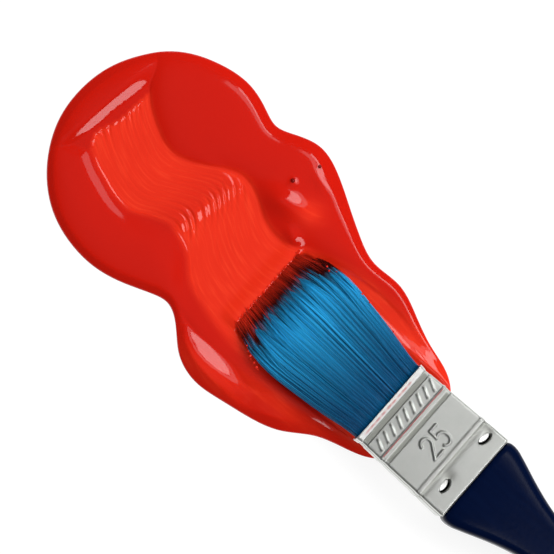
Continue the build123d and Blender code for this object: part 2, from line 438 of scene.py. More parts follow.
print("a bell of width 2 at 0, 2 and 4:", bell(np.array([0, 2, 4]), 2).round(2))

# %% [markdown]
# ## The paint
#
# Spilled paint could be a fluid simulation, but its surface is a single height over the table, so
# a formula gives every ridge exactly where the stroke left it.  The height is built up in layers:
# banks on both sides, the brush's track between them, the ridge round the head of the stroke, the
# swell where the brush dipped, fine grooves from the filaments, and the rounded rim.  First comes
# the outline, which is the CAD pool's own.

# %% The pool's outline, from the CAD node


def bottom_edges(node):
    """The rim of a node's flat underside: the edges that only one triangle at z = 0 uses."""
    points, corners = node_corners(node)
    flat = corners[(points[corners][:, :, 2] < 1e-4).all(axis=1)]
    places, same = np.unique(points.round(4), axis=0, return_inverse=True)
    flat = same.ravel()[flat]
    edges = np.sort(np.concatenate([flat[:, [0, 1]], flat[:, [1, 2]], flat[:, [2, 0]]]), axis=1)
    edges, uses = np.unique(edges, axis=0, return_counts=True)
    return places[edges[uses == 1]][:, :, :2]


RIM = bottom_edges("paint_pool")
print(len(RIM), "short edges round the pool")


def sides_at(x):
    """The lowest and highest y of the pool's outline at each x."""
    (x0, y0), (x1, y1) = RIM[:, 0].T, RIM[:, 1].T
    t = (x[:, None] - x0) / np.where(abs(x1 - x0) > 1e-9, x1 - x0, 1e-9)
    y = y0 + t * (y1 - y0)
    hit = (t >= 0) & (t <= 1)
    return np.where(hit, y, 1e9).min(axis=1), np.where(hit, y, -1e9).max(axis=1)


def rim_distance(x, y):
    """How far each point is from the outline: the least distance to any of its short edges."""
    start, end = RIM[:, 0], RIM[:, 1]
    step = end - start
    nearest = np.empty(x.shape)
    for row in range(len(x)):
        dx = x[row][:, None] - start[:, 0]
        dy = y[row][:, None] - start[:, 1]
        t = np.clip((dx * step[:, 0] + dy * step[:, 1]) / (step ** 2).sum(axis=1), 0, 1)
        nearest[row] = np.hypot(dx - t * step[:, 0], dy - t * step[:, 1]).min(axis=1)
    return nearest

# %% [markdown]
# A brush drawn through thick paint leaves a winding track between two banks.  The track's edges
# are smooth curves through a few points.  Any place in it is known by its share of the way
# across, so that whatever the filaments drew can follow the stroke round its bends.

# %% The brush's track through the paint
TRACK_FAR = [(-114, 27), (-108, 24.0), (-104.5, 19.8), (-101, 16.6), (-98, 14.6), (-95, 13.0),
             (-91.5, 11.5), (-88, 11.0), (-83, 12.3), (-78.7, 14.6), (-74, 17.4), (-70.2, 18.9),
             (-66, 18.5), (-62, 16.8), (-57.7, 14.3), (-52, 12.8), (-47, 13.3), (-43, 15.0),
             (-30, 18.5), (20, 14)]
TRACK_NEAR = [(-114, -3.6), (-108, -2.0), (-105.3, -1.7), (-103.3, -2.8), (-101.2, -3.9),
              (-97.5, -5.2), (-93.3, -6.6), (-89.5, -7.3), (-86, -7.2), (-80.8, -4.6), (-76, -3.0),
              (-71.5, -3.6), (-67.4, -5.3), (-61, -10.6), (-53.9, -13.2), (-45, -15.0),
              (-30, -15.5), (20, -12)]
STROKE_START = [(-6, -104.6), (-1.2, -105.5), (0.4, -106.3), (6.3, -105.0), (7.5, -104.5),
                (16.3, -103.3), (22, -102.6)]


def track_edges(x):
    """y of the track's near edge and of its far edge."""
    return curve_through(TRACK_NEAR, x), curve_through(TRACK_FAR, x)


def track_share(x, y):
    """0 on the track's near edge and 1 on its far edge."""
    near, far = track_edges(x)
    return (y - near) / (far - near)


def stroke_start(y):
    """x where the track begins: an uneven line across the stroke, with a fine wave."""
    return curve_through(STROKE_START, y) + 0.16 * np.sin(2.9 * y + 1)


near_edge, far_edge = track_edges(np.linspace(-103, -47, 57))
print(f"track {(far_edge - near_edge).min():.1f} to {(far_edge - near_edge).max():.1f} mm wide")

# %% [markdown]
# The track's floor isn't level.  The brush pushed the paint up into a swell and slid down from it
# sideways, and its filaments left grooves all the way.  The grooves could be a bump in the
# material, but the light breaks into separate sparks where they cross the swell, and only real
# height does that.

# %% The floor of the track
TRACK_FLOOR = 1.25
SWELL_BUILDS = (-100, -80)
SWELL_RISE = 0.50
CREST_RISE = 0.40
CREST_X = -75.2
CREST_SLANT = 0.22
SWELL_ACROSS = (-6, -1, 15.5, 19.5)
START_ACROSS = (-3.0, -0.5, 16.0, 18.5)
GROOVED_SHARE = (0, 0.05, 0.94, 1)
LOCK_GROOVE = 0.014
LOCK_GROOVE_ON_SWELL = 0.125
LOCK_GROOVE_AT_START = 0.09
HAIR_GROOVE = 0.011


def track_grooves(x, y, across, on_swell, at_start):
    """Random grooves that run with the track: those of whole locks, deepest on the swell and at
    the start, and those of single filaments.  They slant where the brush slid sideways."""
    slanted = 24 * across + 7 * ease(-75, -62, x)
    locks = ripples(slanted, 3, 1.7, 3.6, 4) + 0.35 * ripples(slanted, 5, 0.8, 1.4, 3)
    hairs = ripples(slanted + 0.3 * np.sin(x / 9), 4, 0.45, 1.5) * (0.6 + 0.4 * np.sin(x / 6 + y))
    depth = LOCK_GROOVE_ON_SWELL * on_swell + LOCK_GROOVE_AT_START * at_start + LOCK_GROOVE
    return locks * depth + hairs * HAIR_GROOVE


def track_bed(x, y, across):
    """Height of the floor: level, plus a swell that builds up to its slanted crest and falls away
    within 5 mm beyond it, plus the grooves."""
    crest = CREST_X + CREST_SLANT * (y + 2)
    pushed = SWELL_RISE * ease(*SWELL_BUILDS, x)
    pushed = pushed + CREST_RISE * bell(np.minimum(x - crest, 0), 4.5)
    body = window(y, *SWELL_ACROSS)
    swell = pushed * (1 - ease(crest + 0.3, crest + 5.2, x)) * (0.45 + 0.55 * body)
    into = x - stroke_start(y)
    on_swell = bell(x - crest - 2.8, 2.5) * body
    at_start = ease(-0.4, 0.5, into) * np.exp(-np.maximum(into, 0) / 1.7)
    at_start = at_start * window(y, *START_ACROSS)
    inside = window(across, *GROOVED_SHARE) * ease(-0.6, 0.4, into)
    return TRACK_FLOOR + swell + inside * track_grooves(x, y, across, on_swell, at_start)


print(f"swell {SWELL_RISE + CREST_RISE:.2f} mm high at its crest")

# %% [markdown]
# Where the brush first pressed, it piled the paint up into a ridge.  From there the surface falls
# in one long smooth slope, and the fall's slope is what matters: it is just steep enough to mirror
# the softbox beyond the handle, as one broad bar.  A shelf and a small step end at the track.

# %% The head of the stroke
HEAD_SLOPE = 0.515
HEAD_ACROSS = (-14.0, -5.5, 18, 35)
STEP_RISE = 0.36
STEP_ACROSS = (-7.0, 0.5, 14.0, 24.0)
SHELF_RISE = 0.25


def head_rise(x, y):
    """How far the head of the stroke stands over the floor.  An ease over a width is steepest in
    its middle, at 1.5 rise / width, so the fall's rise is HEAD_SLOPE * width / 1.5."""
    into = x - stroke_start(y)
    width = np.clip(4.4 + 0.06 * y, 4.2, 5.6)
    middle = -110.4 + 0.150 * y
    fall = HEAD_SLOPE * width / 1.5 * window(y, *HEAD_ACROSS)
    fall = fall * (1 - ease(middle - width / 2, middle + width / 2, x))
    step = STEP_RISE * window(y, *STEP_ACROSS) * (1 - ease(-0.70, 0.40, into))
    shelf = SHELF_RISE * (1 - ease(-4.0, 0.0, into))
    return step + shelf + fall


print(f"ridge {head_rise(-118.0, 6.0):.2f} mm over the floor at the middle of the head")

# %% [markdown]
# Beside the tuft the near bank is cut by a crease, and beyond it the paint has welled up into a
# side lobe.  From the crease the lobe rises as a sine, so it starts steep and rounds off.

# %% The side lobe and its crease
CREASE = [(-64, -16), (-58, -19.0), (-52.7, -20.3), (-45, -20.4), (-37, -20.7), (-31.4, -22.0),
          (-28, -21.3), (-23, -18.8), (-14, -17.0), (0, -16)]
CREASE_HEIGHT = 1.35
CREASED = (-62, -53, -30, -16)
LOBE_MIDDLE = -45.3
LOBE_HALF_LENGTHS = (9.8, 18.0)
LOBE_WIDTH = 5.2
LOBE_RISE = 0.645
TUFT_SIDE_RISE = 0.85
NEAR_BANK = 3.0
NEAR_BANK_PILE = 1.2
PILED = (-34, -24, -12, 0)


def near_bank(x, y):
    """Height of the near bank.  Off the crease the lobe rises as k w sin(pi d / 3.5 w), where its
    width w shrinks as a parabola towards its two ends.  The tuft's side rises as 1 - exp(-d/2)."""
    crease = curve_through(CREASE, x)
    half_length = np.where(x < LOBE_MIDDLE, *LOBE_HALF_LENGTHS)
    width = np.maximum(LOBE_WIDTH * (1 - ((x - LOBE_MIDDLE) / half_length) ** 2), 0.5)
    out = np.maximum(crease - y, 0)
    lobe = LOBE_RISE * width * np.sin(np.minimum(np.pi * out / (3.5 * width), np.pi / 2))
    tuft_side = TUFT_SIDE_RISE * (1 - np.exp(-np.maximum(y - crease, 0) / 2.0))
    low = CREASE_HEIGHT + np.where(y < crease, lobe, tuft_side)
    level = NEAR_BANK + NEAR_BANK_PILE * window(x, *PILED)
    return level + (low - NEAR_BANK) * window(x, *CREASED)


print(f"lobe {near_bank(np.array([LOBE_MIDDLE]), np.array([-30.0]))[0]:.2f} mm high")

# %% [markdown]
# A drop's rim is a round edge that mirrors the lights as a fine line.  A quarter circle would be
# too steep there and mirror the table, so the rim's slope is given instead, and its height is the
# area under that slope.

# %% The rim
RIM_WIDTH = 5.0
RIM_BEND = (0.2, 3.0)
SLOW_SHARE = 0.5
CONTACT = 0.4
CONTACT_SHARE = 0.09


def rim_rise(inward):
    """Share of the full height at a distance d from the rim.  Its slope goes as k exp(-d/w) + 1 -
    ease(d): it stays steep for a little way, bends over, and then levels out slowly.  A quarter
    circle with a small share of the height rounds the line where the paint meets the table."""
    low, high = RIM_BEND
    t = np.clip((inward - low) / (high - low), 0, 1)
    bent = np.minimum(inward, low) + (high - low) * (t - t ** 3 + t ** 4 / 2)
    slow = SLOW_SHARE * RIM_WIDTH * (1 - np.exp(-inward / RIM_WIDTH))
    contact = np.sqrt(np.clip(1 - (1 - np.clip(inward / CONTACT, 0, 1)) ** 2, 0, 1))
    full = (low + high) / 2 + SLOW_SHARE * RIM_WIDTH
    return CONTACT_SHARE * contact + (1 - CONTACT_SHARE) * (bent + slow) / full


print("share of the height 1, 3 and 9 mm in:", rim_rise(np.array([1, 3, 9])).round(2))

# %% [markdown]
# Now the layers come together.  Single mounds, such as the dome in the far bank and the paint that
# the brush pushed up beside it, are smooth bells on top.  Where two layers meet, the greater one
# wins with its corner rounded, as surface tension would round it.

# %% The paint's height
# middle x, y, half length, half width, turn in degrees, rise
SWELLINGS = [(-48.8, 22.2, 5.2, 5.0, 0, 0.50), (-56.8, 21.5, 5.4, 3.4, 8, 1.70),
             (-58.1, 27.2, 1.35, 1.35, 0, 0.46), (-53.0, 32.4, 3.6, 1.5, -18, 0.42),
             (-48.3, 16.0, 3.0, 2.0, -20, 0.88), (-34, 23, 9, 5, 0, 0.25),
             (-71.2, -7.4, 4.5, 2.4, -35, 0.30), (-18, -16.8, 15, 4.0, 7, 2.6)]
FAR_BANK = 3.2
FAR_BANK_SWELL = 0.35
STEEPEST = 0.80
CAP_AT_RIM = 0.25
BANK_SOFTNESS = 0.006
CAP_SOFTNESS = 0.02


def swelling(x, y, middle_x, middle_y, length, width, turn, rise):
    """A smooth mound: rise * exp(-(u/length)^2 - (v/width)^2), with u and v turned by its angle."""
    c, s = math.cos(math.radians(turn)), math.sin(math.radians(turn))
    u = (x - middle_x) * c + (y - middle_y) * s
    v = (y - middle_y) * c - (x - middle_x) * s
    return rise * np.exp(-(u / length) ** 2 - (v / width) ** 2)


def bank_shares(x, below, beyond):
    """How much of its full height each bank has, below mm from the track's near edge or beyond mm
    from its far edge.  The far one grows as 1 - exp(-d/4.2) (1 + d/16.8).  The near one has a
    small lip, a slope that shows, and a long flat rise."""
    far_share = (1 - np.exp(-beyond / 4.2) * (1 + beyond / 16.8)) * ease(0, 1.5, beyond)
    lip = 0.11 * ease(0, 0.40, below) * ease(-104.5, -102, x)
    slope_width = 5.6 + 3.5 * ease(-88, -79, x)
    near_share = lip + 0.57 * ease(0, slope_width, below) + (0.44 - lip) * ease(2, 12, below)
    return near_share, far_share


def paint_height(x, y, inward):
    """Height of the paint over the table at (x, y), inward mm from its rim: floor + (bank - floor)
    * share, or the head of the stroke where that is higher, plus the mounds, times the rim's
    share, and never steeper from the rim than the cap.  Beside the far bubble the rim is brisker:
    it levels out in less of its width."""
    near, far = track_edges(x)
    bed = track_bed(x, y, track_share(x, y))
    near_share, far_share = bank_shares(x, np.maximum(near - y, 0), np.maximum(y - far, 0))
    upper = 2 * y > near + far
    bank = np.where(upper, FAR_BANK + FAR_BANK_SWELL * bell(x + 62, 17), near_bank(x, y))
    height = bed + (bank - bed) * np.where(upper, far_share, near_share)
    height = smooth_max(height, bed + head_rise(x, y), BANK_SOFTNESS)
    height = height + sum(swelling(x, y, *mound) for mound in SWELLINGS)
    brisk = 1 + 0.6 * bell(x + 50, 7) * ease(15, 25, y)
    height = height * rim_rise(inward * brisk)
    return np.maximum(smooth_min(height, CAP_AT_RIM + STEEPEST * inward, CAP_SOFTNESS), 0)

# %% [markdown]
# The brush has weight and lies in the paint, not on it.  So the finished height is pressed down
# wherever the tuft and the ferrule are, and drawn up a little in front of the tips.

# %% The brush's bed in the paint
# x, height of the paint under the brush
PRESSED_HEIGHT = [(-47.5, 2.6), (-45.0, 2.2), (-43, 0.65), (-38, 0.80), (-30, 1.7), (-10, 2.0),
                  (0, 1.0), (20, 0.9)]
# x, half the width that is pressed
PRESSED_WIDTH = [(-48, 13), (-38, 15), (-30, 16), (0, 13.2), (20, 14)]
PRESSED_MIDDLE = 1.0
PRESSED_FROM = (-44.4, -42.9)
DRAWN_UP = 1.15
DRAWN_UP_ACROSS = (-14, -10.5, 10.5, 18)


def tuft_bed(x, y, height):
    """The same height, with the climb in front of the tips added where the paint is shallow, and no higher than
    the pressed height under the brush."""
    climb = DRAWN_UP * ease(-51, -44.8, x) * window(y, *DRAWN_UP_ACROSS)
    height = height + climb * ease(0.0, 0.6, 2.2 - height)
    outside = abs(y - PRESSED_MIDDLE) - curve_through(PRESSED_WIDTH, x)
    under = (1 - ease(-1.0, 0.8, outside)) * ease(*PRESSED_FROM, x)
    return height + (np.minimum(height, curve_through(PRESSED_HEIGHT, x)) - height) * under


print(f"the brush lies {min(h for _, h in PRESSED_HEIGHT):.2f} mm over the table at its lowest")

# %% [markdown]
# The grid's rows cross the pool, and bunch up towards its two ends, where they shrink to a point.
# Its columns are closest at the rim and in the track, where the fine relief is.

# %% The pool's grid
ROW_STRETCHES = [(-1.0, -0.93, 36), (-0.93, 0.115, 250), (0.115, 1.0, 96)]
RIM_COLUMNS = 14
NEAR_COLUMNS = 44
TRACK_COLUMNS = 100
FAR_COLUMNS = 56
RIM_ZONE = 2.6
RIM_ZONE_SHARE = 0.12


def pool_rows():
    """x of each row: middle + half length * sin(pi/2 * t), which bunches them up near the ends,
    with t stepping finely over the track's stretch."""
    low, high = RIM[..., 0].min(), RIM[..., 0].max()
    stretches = [np.linspace(a, b, n, endpoint=False) for a, b, n in ROW_STRETCHES]
    t = np.append(np.concatenate(stretches), 1.0)
    return (low + high) / 2 + (high - low) / 2 * np.sin(np.pi / 2 * t)


def pool_columns(x):
    """y of each column of each row: fixed numbers of columns in the rims, the banks and the
    track, between knots that keep their order where the pool narrows."""
    low, high = sides_at(x)
    width = high - low
    rim = np.minimum(RIM_ZONE, RIM_ZONE_SHARE * width)
    near = np.clip(curve_through(TRACK_NEAR, x) - 1, low + 0.25 * width, low + 0.45 * width)
    far = np.clip(curve_through(TRACK_FAR, x) + 1, low + 0.55 * width, high - 0.25 * width)
    round_off = 1 - np.cos(np.linspace(0, np.pi / 2, RIM_COLUMNS + 1))
    near_side = np.linspace(0, 1, NEAR_COLUMNS, endpoint=False)[1:]
    middle = np.linspace(0, 1, TRACK_COLUMNS, endpoint=False)
    far_side = np.linspace(0, 1, FAR_COLUMNS, endpoint=False)
    parts = [low[:, None] + rim[:, None] * round_off,
             (low + rim)[:, None] + (near - low - rim)[:, None] * near_side,
             near[:, None] + (far - near)[:, None] * middle,
             far[:, None] + (high - rim - far)[:, None] * far_side,
             high[:, None] - rim[:, None] * round_off[::-1]]
    return np.concatenate(parts, axis=1)


rows_x = pool_rows()[1:-1]
grid_y = pool_columns(rows_x)
grid_x = np.repeat(rows_x[:, None], grid_y.shape[1], axis=1)
inward = rim_distance(grid_x, grid_y)
inward[:, [0, -1]] = 0
free_z = paint_height(grid_x, grid_y, inward)
grid_z = tuft_bed(grid_x, grid_y, free_z)
print("pool grid", grid_x.shape, f"highest point {grid_z.max():.2f} mm")

# %% [markdown]
# Thin paint over a white table lets light through and turns a brighter, more orange red.  Real scattering would be
# slow and noisy to render, so the material simply reads how thin the paint is.  The same number also carries a few
# painted glows: painted light that makes the dome and the lower bank beside the tuft a brighter red.  It also
# reads two coordinates that run with the stroke, for fine streaks of lighter paint.

# %% Red paint
paint = Finish("red_paint", Roughness=0.07, IOR=1.5)
thin_and_painted_glow = paint.attribute("thin_and_painted_glow")
stroke = paint.attribute("stroke")
along_stroke = paint.node("CombineXYZ", None, {0: paint.attribute("run"), 1: stroke}).outputs[0]
streaks = paint.grain(along_stroke, 1.0, 3.0)
clouds = paint.grain(paint.place(), 14.0)
# The attribute read here also holds the painted glows, painted light that brightens the dome and the lower bank.
tone = paint.blend(thin_and_painted_glow, (0.51, 0.0080, 0.0025), (0.73, 0.026, 0.008))
darker = paint.blend((1 - clouds) * 0.25, tone, (0.42, 0.004, 0.002))
paint.set("Base Color", paint.blend(streaks.between(0.45, 0.75) * thin_and_painted_glow * 0.45, darker,
                                    (0.82, 0.050, 0.016)))
print("red paint:", len(paint.tree.nodes), "nodes")

# %% [markdown]
# The grid becomes a closed body, because it has a flat underside where it wets the table.  How thin the paint is
# comes from the height before the brush pressed it, inside the track only.  A few painted glows are added to it:
# painted light, patches painted a brighter red on the dome in the far bank and along the lower bank beside the
# tuft.

# %% Build the pool


def build_pool():
    """The top grid, a flat underside that spans each row from rim to rim, and a fan of triangles
    to the outline's tip at each end."""
    rows, columns = grid_x.shape
    top = np.stack([grid_x, grid_y, grid_z], -1).reshape(-1, 3)
    outline = RIM.reshape(-1, 2)
    tips = outline[[outline[:, 0].argmin(), outline[:, 0].argmax()]]
    points = np.concatenate([top, np.column_stack([tips, np.zeros(2)])])
    first = np.arange(rows) * columns
    under = np.stack([first[:-1], first[1:], first[1:] + columns - 1, first[:-1] + columns - 1], -1)
    left_tip, right_tip, start = rows * columns, rows * columns + 1, (rows - 1) * columns
    left = [[left_tip, j, j + 1] for j in range(columns - 1)] + [[left_tip, columns - 1, 0]]
    right = [[right_tip, start + j + 1, start + j] for j in range(columns - 1)]
    right.append([right_tip, start, start + columns - 1])
    faces = grid_faces(rows, columns, wrap=False)[:, ::-1].tolist() + under[:, ::-1].tolist()
    return make_piece("pool_of_paint", points, faces + left + right, paint)


# Painted glows: patches where the paint's colour is painted lighter, as painted light.
# middle x, y, half length, half width, turn in degrees, strength
PAINTED_GLOWS = [(-49.2, 24.2, 3.6, 3.2, 10, 0.85), (-41, -26.5, 13, 2.8, 0, 0.50),
         (-22, -20, 15, 3.0, 6, 0.75)]
THIN_HEIGHTS = (1.5, 3.0)
THIN_SHARE = (-0.10, 0.04, 0.97, 1.12)
STREAKS_ACROSS = 30
STREAKS_PER_MM = 0.12

pool = build_pool()
share = track_share(grid_x, grid_y)
thinness = (1 - ease(*THIN_HEIGHTS, free_z)) * window(share, *THIN_SHARE)
thinness = thinness * ease(-1.5, 0.3, grid_x - stroke_start(grid_y))
painted_glow = sum(swelling(grid_x, grid_y, *place) for place in PAINTED_GLOWS)
at_tips = [0, 0]
mark(pool, "thin_and_painted_glow", np.append(np.clip(thinness + painted_glow, 0, 1).ravel(), at_tips))
mark(pool, "stroke", np.append((share * STREAKS_ACROSS).ravel(), at_tips))
mark(pool, "run", np.append((grid_x * STREAKS_PER_MM).ravel(), at_tips))
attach(pool, "pool")
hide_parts("paint_pool")

# %% [markdown]
# Two small bubbles stand in the far bank, and flecks of paint have caught along the tuft.  Both
# are small domes.  A sphere from the menu would do, but rings of an ellipsoid, closed below, can
# be as flat as a fleck needs.

# %% Bubbles
# x, y, radius
BUBBLES = [(-58.6, 27.6, 0.62), (-55.7, 35.3, 0.50)]


def dome_rings(middle, radius, tall, rings=7, around=12):
    """Rings of an ellipsoid round a middle point: radius across and tall up, from below to top."""
    rise = np.linspace(-0.45 * np.pi, 0.46 * np.pi, rings)[:, None]
    turn = np.linspace(0, 2 * np.pi, around, endpoint=False)[None, :]
    parts = [radius * np.cos(rise) * np.cos(turn), radius * np.cos(rise) * np.sin(turn),
             tall * np.sin(rise) + 0 * turn]
    return np.stack(np.broadcast_arrays(*parts), -1) + middle


# The bubbles are coloured a far darker red than the paint: painted shade for the dark ring round each bubble.
bubble_dark_shade = Finish("bubble_dark_shade", Roughness=0.05, IOR=1.4)
swirl = bubble_dark_shade.grain(bubble_dark_shade.place(), 0.4)
bubble_dark_shade.set("Base Color", bubble_dark_shade.blend(swirl, (0.10, 0.001, 0.001), (0.22, 0.004, 0.002)))
for number, (x, y, radius) in enumerate(BUBBLES):
    spot = np.array([[x]]), np.array([[y]])
    level = paint_height(*spot, rim_distance(*spot))[0, 0]
    bubble = skin(f"bubble_{number + 1}", dome_rings((x, y, level), radius, radius, 9, 20),
                  bubble_dark_shade)
    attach(bubble, "pool")

# %% [markdown]
# ## The tuft
#
# A tuft could be a block with a streaky texture, but its edge and its tips are what the eye reads,
# so each filament is its own closed tube: three sides and a few rings are enough at this size.
# Blender's own hair would not survive an export.  All filaments share one flow: a filament keeps
# its place in the tuft's cross-section while the section itself grows wider, flatter and lower
# towards the paint.

# %% The flow of the tuft
# place along, half width, half thickness, shift across, shift up, twist back to level in degrees
FLOW = np.array([
    (2.0, 12.45, 2.90, 0.00, 0.00, 0.0),
    (0.0, 12.50, 2.95, 0.05, 0.00, 0.0),
    (-5.0, 13.10, 3.00, 0.25, -0.15, 0.2),
    (-10.0, 14.00, 2.95, 0.45, -0.65, 1.0),
    (-20.0, 15.40, 2.75, 1.00, -1.75, 3.0),
    (-30.0, 16.50, 2.30, 1.60, -3.50, 5.0),
    (-37.5, 15.90, 1.70, 2.00, -5.00, 6.5),
    (-44.5, 13.60, 0.62, 2.30, -6.75, 7.0),
    (-48.0, 13.00, 0.40, 2.40, -7.10, 7.0),
])


def flow_at(x):
    """The tuft's section at each x, as five arrays, smoothly between the rows of FLOW."""
    rows = FLOW[::-1]
    return [curve_through(np.stack([rows[:, 0], rows[:, k]], -1), x) for k in range(1, 6)]


def in_tuft(x, side, level):
    """The point at x that keeps its place in the tuft's section: side and level go from -1 to 1.
    The section is twisted by its angle about its own middle."""
    half_width, half_thick, shift, lift, twist = flow_at(x)
    angle = np.radians(twist)
    y, z = side * half_width, level * half_thick
    return np.stack([x, shift + y * np.cos(angle) - z * np.sin(angle),
                     lift + y * np.sin(angle) + z * np.cos(angle)], -1)


print("tuft's width at 0, 20 and 40 mm:", (2 * flow_at(np.array([0, -20, -40]))[0]).round(1))

# %% [markdown]
# One routine makes all the tubes of a layer at once.  A direction square to the path is found from
# its slope and the upward axis, which works because no filament points straight up.

# %% Thin closed tubes
TUBE_SIDES = 3


def tubes(name, paths, radii, finish, sides=TUBE_SIDES):
    """One tube for each path (filament, ring, 3), with radii (filament, ring).  At each ring the
    corners stand on a circle square to the path, and both ends are closed."""
    count, rings = paths.shape[:2]
    forward = np.gradient(paths, axis=1)
    forward /= np.linalg.norm(forward, axis=-1, keepdims=True)
    sideways = np.cross(forward, (0, 0, 1))
    sideways /= np.linalg.norm(sideways, axis=-1, keepdims=True)
    upwards = np.cross(sideways, forward)
    angles = 2 * np.pi * np.arange(sides) / sides + np.pi / 2
    circle = (np.cos(angles)[:, None] * sideways[:, :, None]
              + np.sin(angles)[:, None] * upwards[:, :, None])
    points = paths[:, :, None] + radii[:, :, None, None] * circle
    one = grid_faces(rings, sides)[:, ::-1]
    offsets = (np.arange(count) * rings * sides)[:, None, None]
    faces = (one[None] + offsets).reshape(-1, 4).tolist()
    ring = np.arange(sides)
    caps = np.stack([ring, (rings - 1) * sides + ring[::-1]])
    faces += (caps[None] + offsets).reshape(-1, sides).tolist()
    return make_piece(name, points.reshape(-1, 3), faces, finish)


print(TUBE_SIDES, "sides to each filament")

# %% [markdown]
# The filaments are a clean blue, painted darker towards the ferrule and lighter towards the tips as painted shade.
# Towards the paint they are first soaked almost black, and their last few millimetres are coated red.  Each
# filament has its own tone, and that, with gloss, makes the fine streaks.  The same tone also carries painted
# shade: it is lighter on raised bundles and darker along the tuft's near side.

# %% Blue filaments
filament = Finish("blue_filament", Roughness=0.36, IOR=1.5, Specular_IOR_Level=0.2)
reach = filament.attribute("reach")
tone_and_painted_shade = filament.attribute("tone_and_painted_shade")
soaked = filament.attribute("soaked")
coated = filament.attribute("coated")
# Painted shade: the blue is darker near the ferrule and lighter towards the tips.
blue = filament.blend(reach, (0.002, 0.120, 0.290), (0.022, 0.430, 0.820))
blue = filament.blend(tone_and_painted_shade, blue, (0.001, 0.020, 0.075))
wet = filament.blend(soaked, blue, (0.034, 0.003, 0.003))
filament.set("Base Color", filament.blend(coated, wet, (0.86, 0.034, 0.012)))
filament.set("Roughness", 0.36 - soaked * 0.20)
print("blue filament:", len(filament.tree.nodes), "nodes")

# %% [markdown]
# Filaments of a wet tuft stick together in locks of uneven width.  In each lock the middle ones
# reach farthest, so its end is a point.  Near the tuft's two edges a lock of each side has parted
# from the rest, and the gap shows the soaked filaments below.

# %% Locks
LOCK_EDGES = np.sort(np.random.default_rng(5).uniform(-1, 1, 22))
# place across, half width, mm shorter
PARTINGS = [(0.790, 0.014, 3.6), (-0.80, 0.022, 4.0)]


def in_lock(side):
    """Each filament's lock: its number, its middle, and how far off it the filament is (0 to 1)."""
    edges = np.concatenate([[-1.02], LOCK_EDGES, [1.02]])
    number = np.clip(np.searchsorted(edges, side), 1, len(edges) - 1)
    low, high = edges[number - 1], edges[number]
    return number, (low + high) / 2, abs(2 * side - low - high) / (high - low)


def parted(side):
    """How many mm shorter the clean filaments are in the two partings."""
    return sum(depth * bell(side - place, width) for place, width, depth in PARTINGS)


print(len(LOCK_EDGES) + 1, "locks, of", (np.diff(LOCK_EDGES).mean() * FLOW[1, 1]).round(1),
      "mm on average at the mouth")

# %% [markdown]
# A filament needs a tip, a path and a thickness.  Its tip depends on its lock, on chance, and on
# how near it is to the tuft's two edges, where the outer filaments are worn shorter.  Its path
# keeps its place in the flow, but it leans towards the middle of its lock near the tip.

# %% Where the filaments run
ALONG_FILAMENT = np.linspace(0, 1, 10) ** 0.85
ROOT_X = 1.5
LOCK_UNEVENNESS = 0.8
BUNDLE_LIFT = 0.045


def filament_ends(draw, side, off, lock_reach, longest, point, clean):
    """x of each tip: longest mm out at a lock's middle and point mm less at its edges, plus what
    the lock, the filament itself, the tuft's edges and the partings take off."""
    end = -longest + point * off ** 1.2 - LOCK_UNEVENNESS * lock_reach + 5 * ease(0.93, 1.0, -side)
    own = draw.normal(0, 1, len(side))
    if clean:
        shorter = 4.4 * ease(0.55, 0.95, side) + 2.2 * ease(0.6, 0.9, -side)
        return end + 0.15 * own + parted(side) + shorter
    return end + 0.5 * own + 0.45 * ripples(side * 14, 43, 0.6, 1.8) + 7 * ease(0.86, 1.0, side)


def filament_paths(draw, side, level, middle, end, bundles, gathered):
    """Ten places along each filament, and its points there.  Side moves to the lock's middle by the
    gathered share, and level rises with the filament's bundle."""
    count = len(side)
    x = ROOT_X + (end[:, None] - ROOT_X) * ALONG_FILAMENT
    gather = gathered * ease(0.74, 1.0, ALONG_FILAMENT)
    wander = draw.normal(0, 0.004, (count, 1)) * np.sin(np.pi * ALONG_FILAMENT) * 2
    sides_now = side[:, None] + (middle - side)[:, None] * gather + wander
    bound = np.sqrt(1 - 0.55 * abs(side) ** 6)
    lifts = draw.normal(0, 0.05, count) + BUNDLE_LIFT * bundles
    levels_now = (level * bound)[:, None] + lifts[:, None] * ALONG_FILAMENT
    return x, in_tuft(x, np.clip(sides_now, -1.03, 1.03), levels_now)


print("places along a filament:", ALONG_FILAMENT.round(2))

# %% [markdown]
# The colours of a layer hang on four numbers at each point.  The first is how far the point is from the ferrule,
# which darkens it near the ferrule as painted shade.  The second is the filament's own tone, with painted shade
# added: raised bundles are lighter, the near side is darker, and the tone gets lighter towards the tips.  The last
# two say whether paint has soaked the filament and whether paint coats it.  The two wet ones begin at a line that
# is a little different for each filament, so the border is ragged.

# %% Grow the filaments
SOAKED_FROM = -36.0
COATED_FROM = -42.2
BENT_AT = -9.0


def mark_filaments(piece, draw, side, x, end, bundles, lock_reach, clean):
    """Hangs four numbers on the tubes, the same all round each ring: reach, the own tone with its painted shade,
    soaked and coated.
    """
    count = len(side)
    # Painted shade in the tone: raised bundles are lighter, the near side is darker, and the tone is lighter
    # towards the tips.
    tones_and_painted_shade = draw.normal(0.34, 0.24, count) - 0.17 * bundles + 0.34 * ease(-0.35, -0.95, side)
    tones_and_painted_shade = np.clip(tones_and_painted_shade[:, None] - 0.36 * ease(18, 38, -x), 0, 1)
    wet_line = end - 0.3 if clean else SOAKED_FROM + parted(side) + 4.2 * ease(0.60, 0.95, side)
    wet_line = (wet_line + draw.normal(0, 0.4, count))[:, None]
    paint_line = COATED_FROM + draw.normal(0, 1.3, count) + 0.5 * lock_reach
    paint_line = (paint_line + 2.0 * ease(0.62, 0.85, side))[:, None]
    for name, amounts in {"reach": ease(2, 30, -x), "tone_and_painted_shade": tones_and_painted_shade,
                          "soaked": ease(-0.2, 1.0, wet_line - x),
                          "coated": ease(-0.5, 1.0, paint_line - x)}.items():
        mark(piece, name, np.repeat(amounts, TUBE_SIDES))


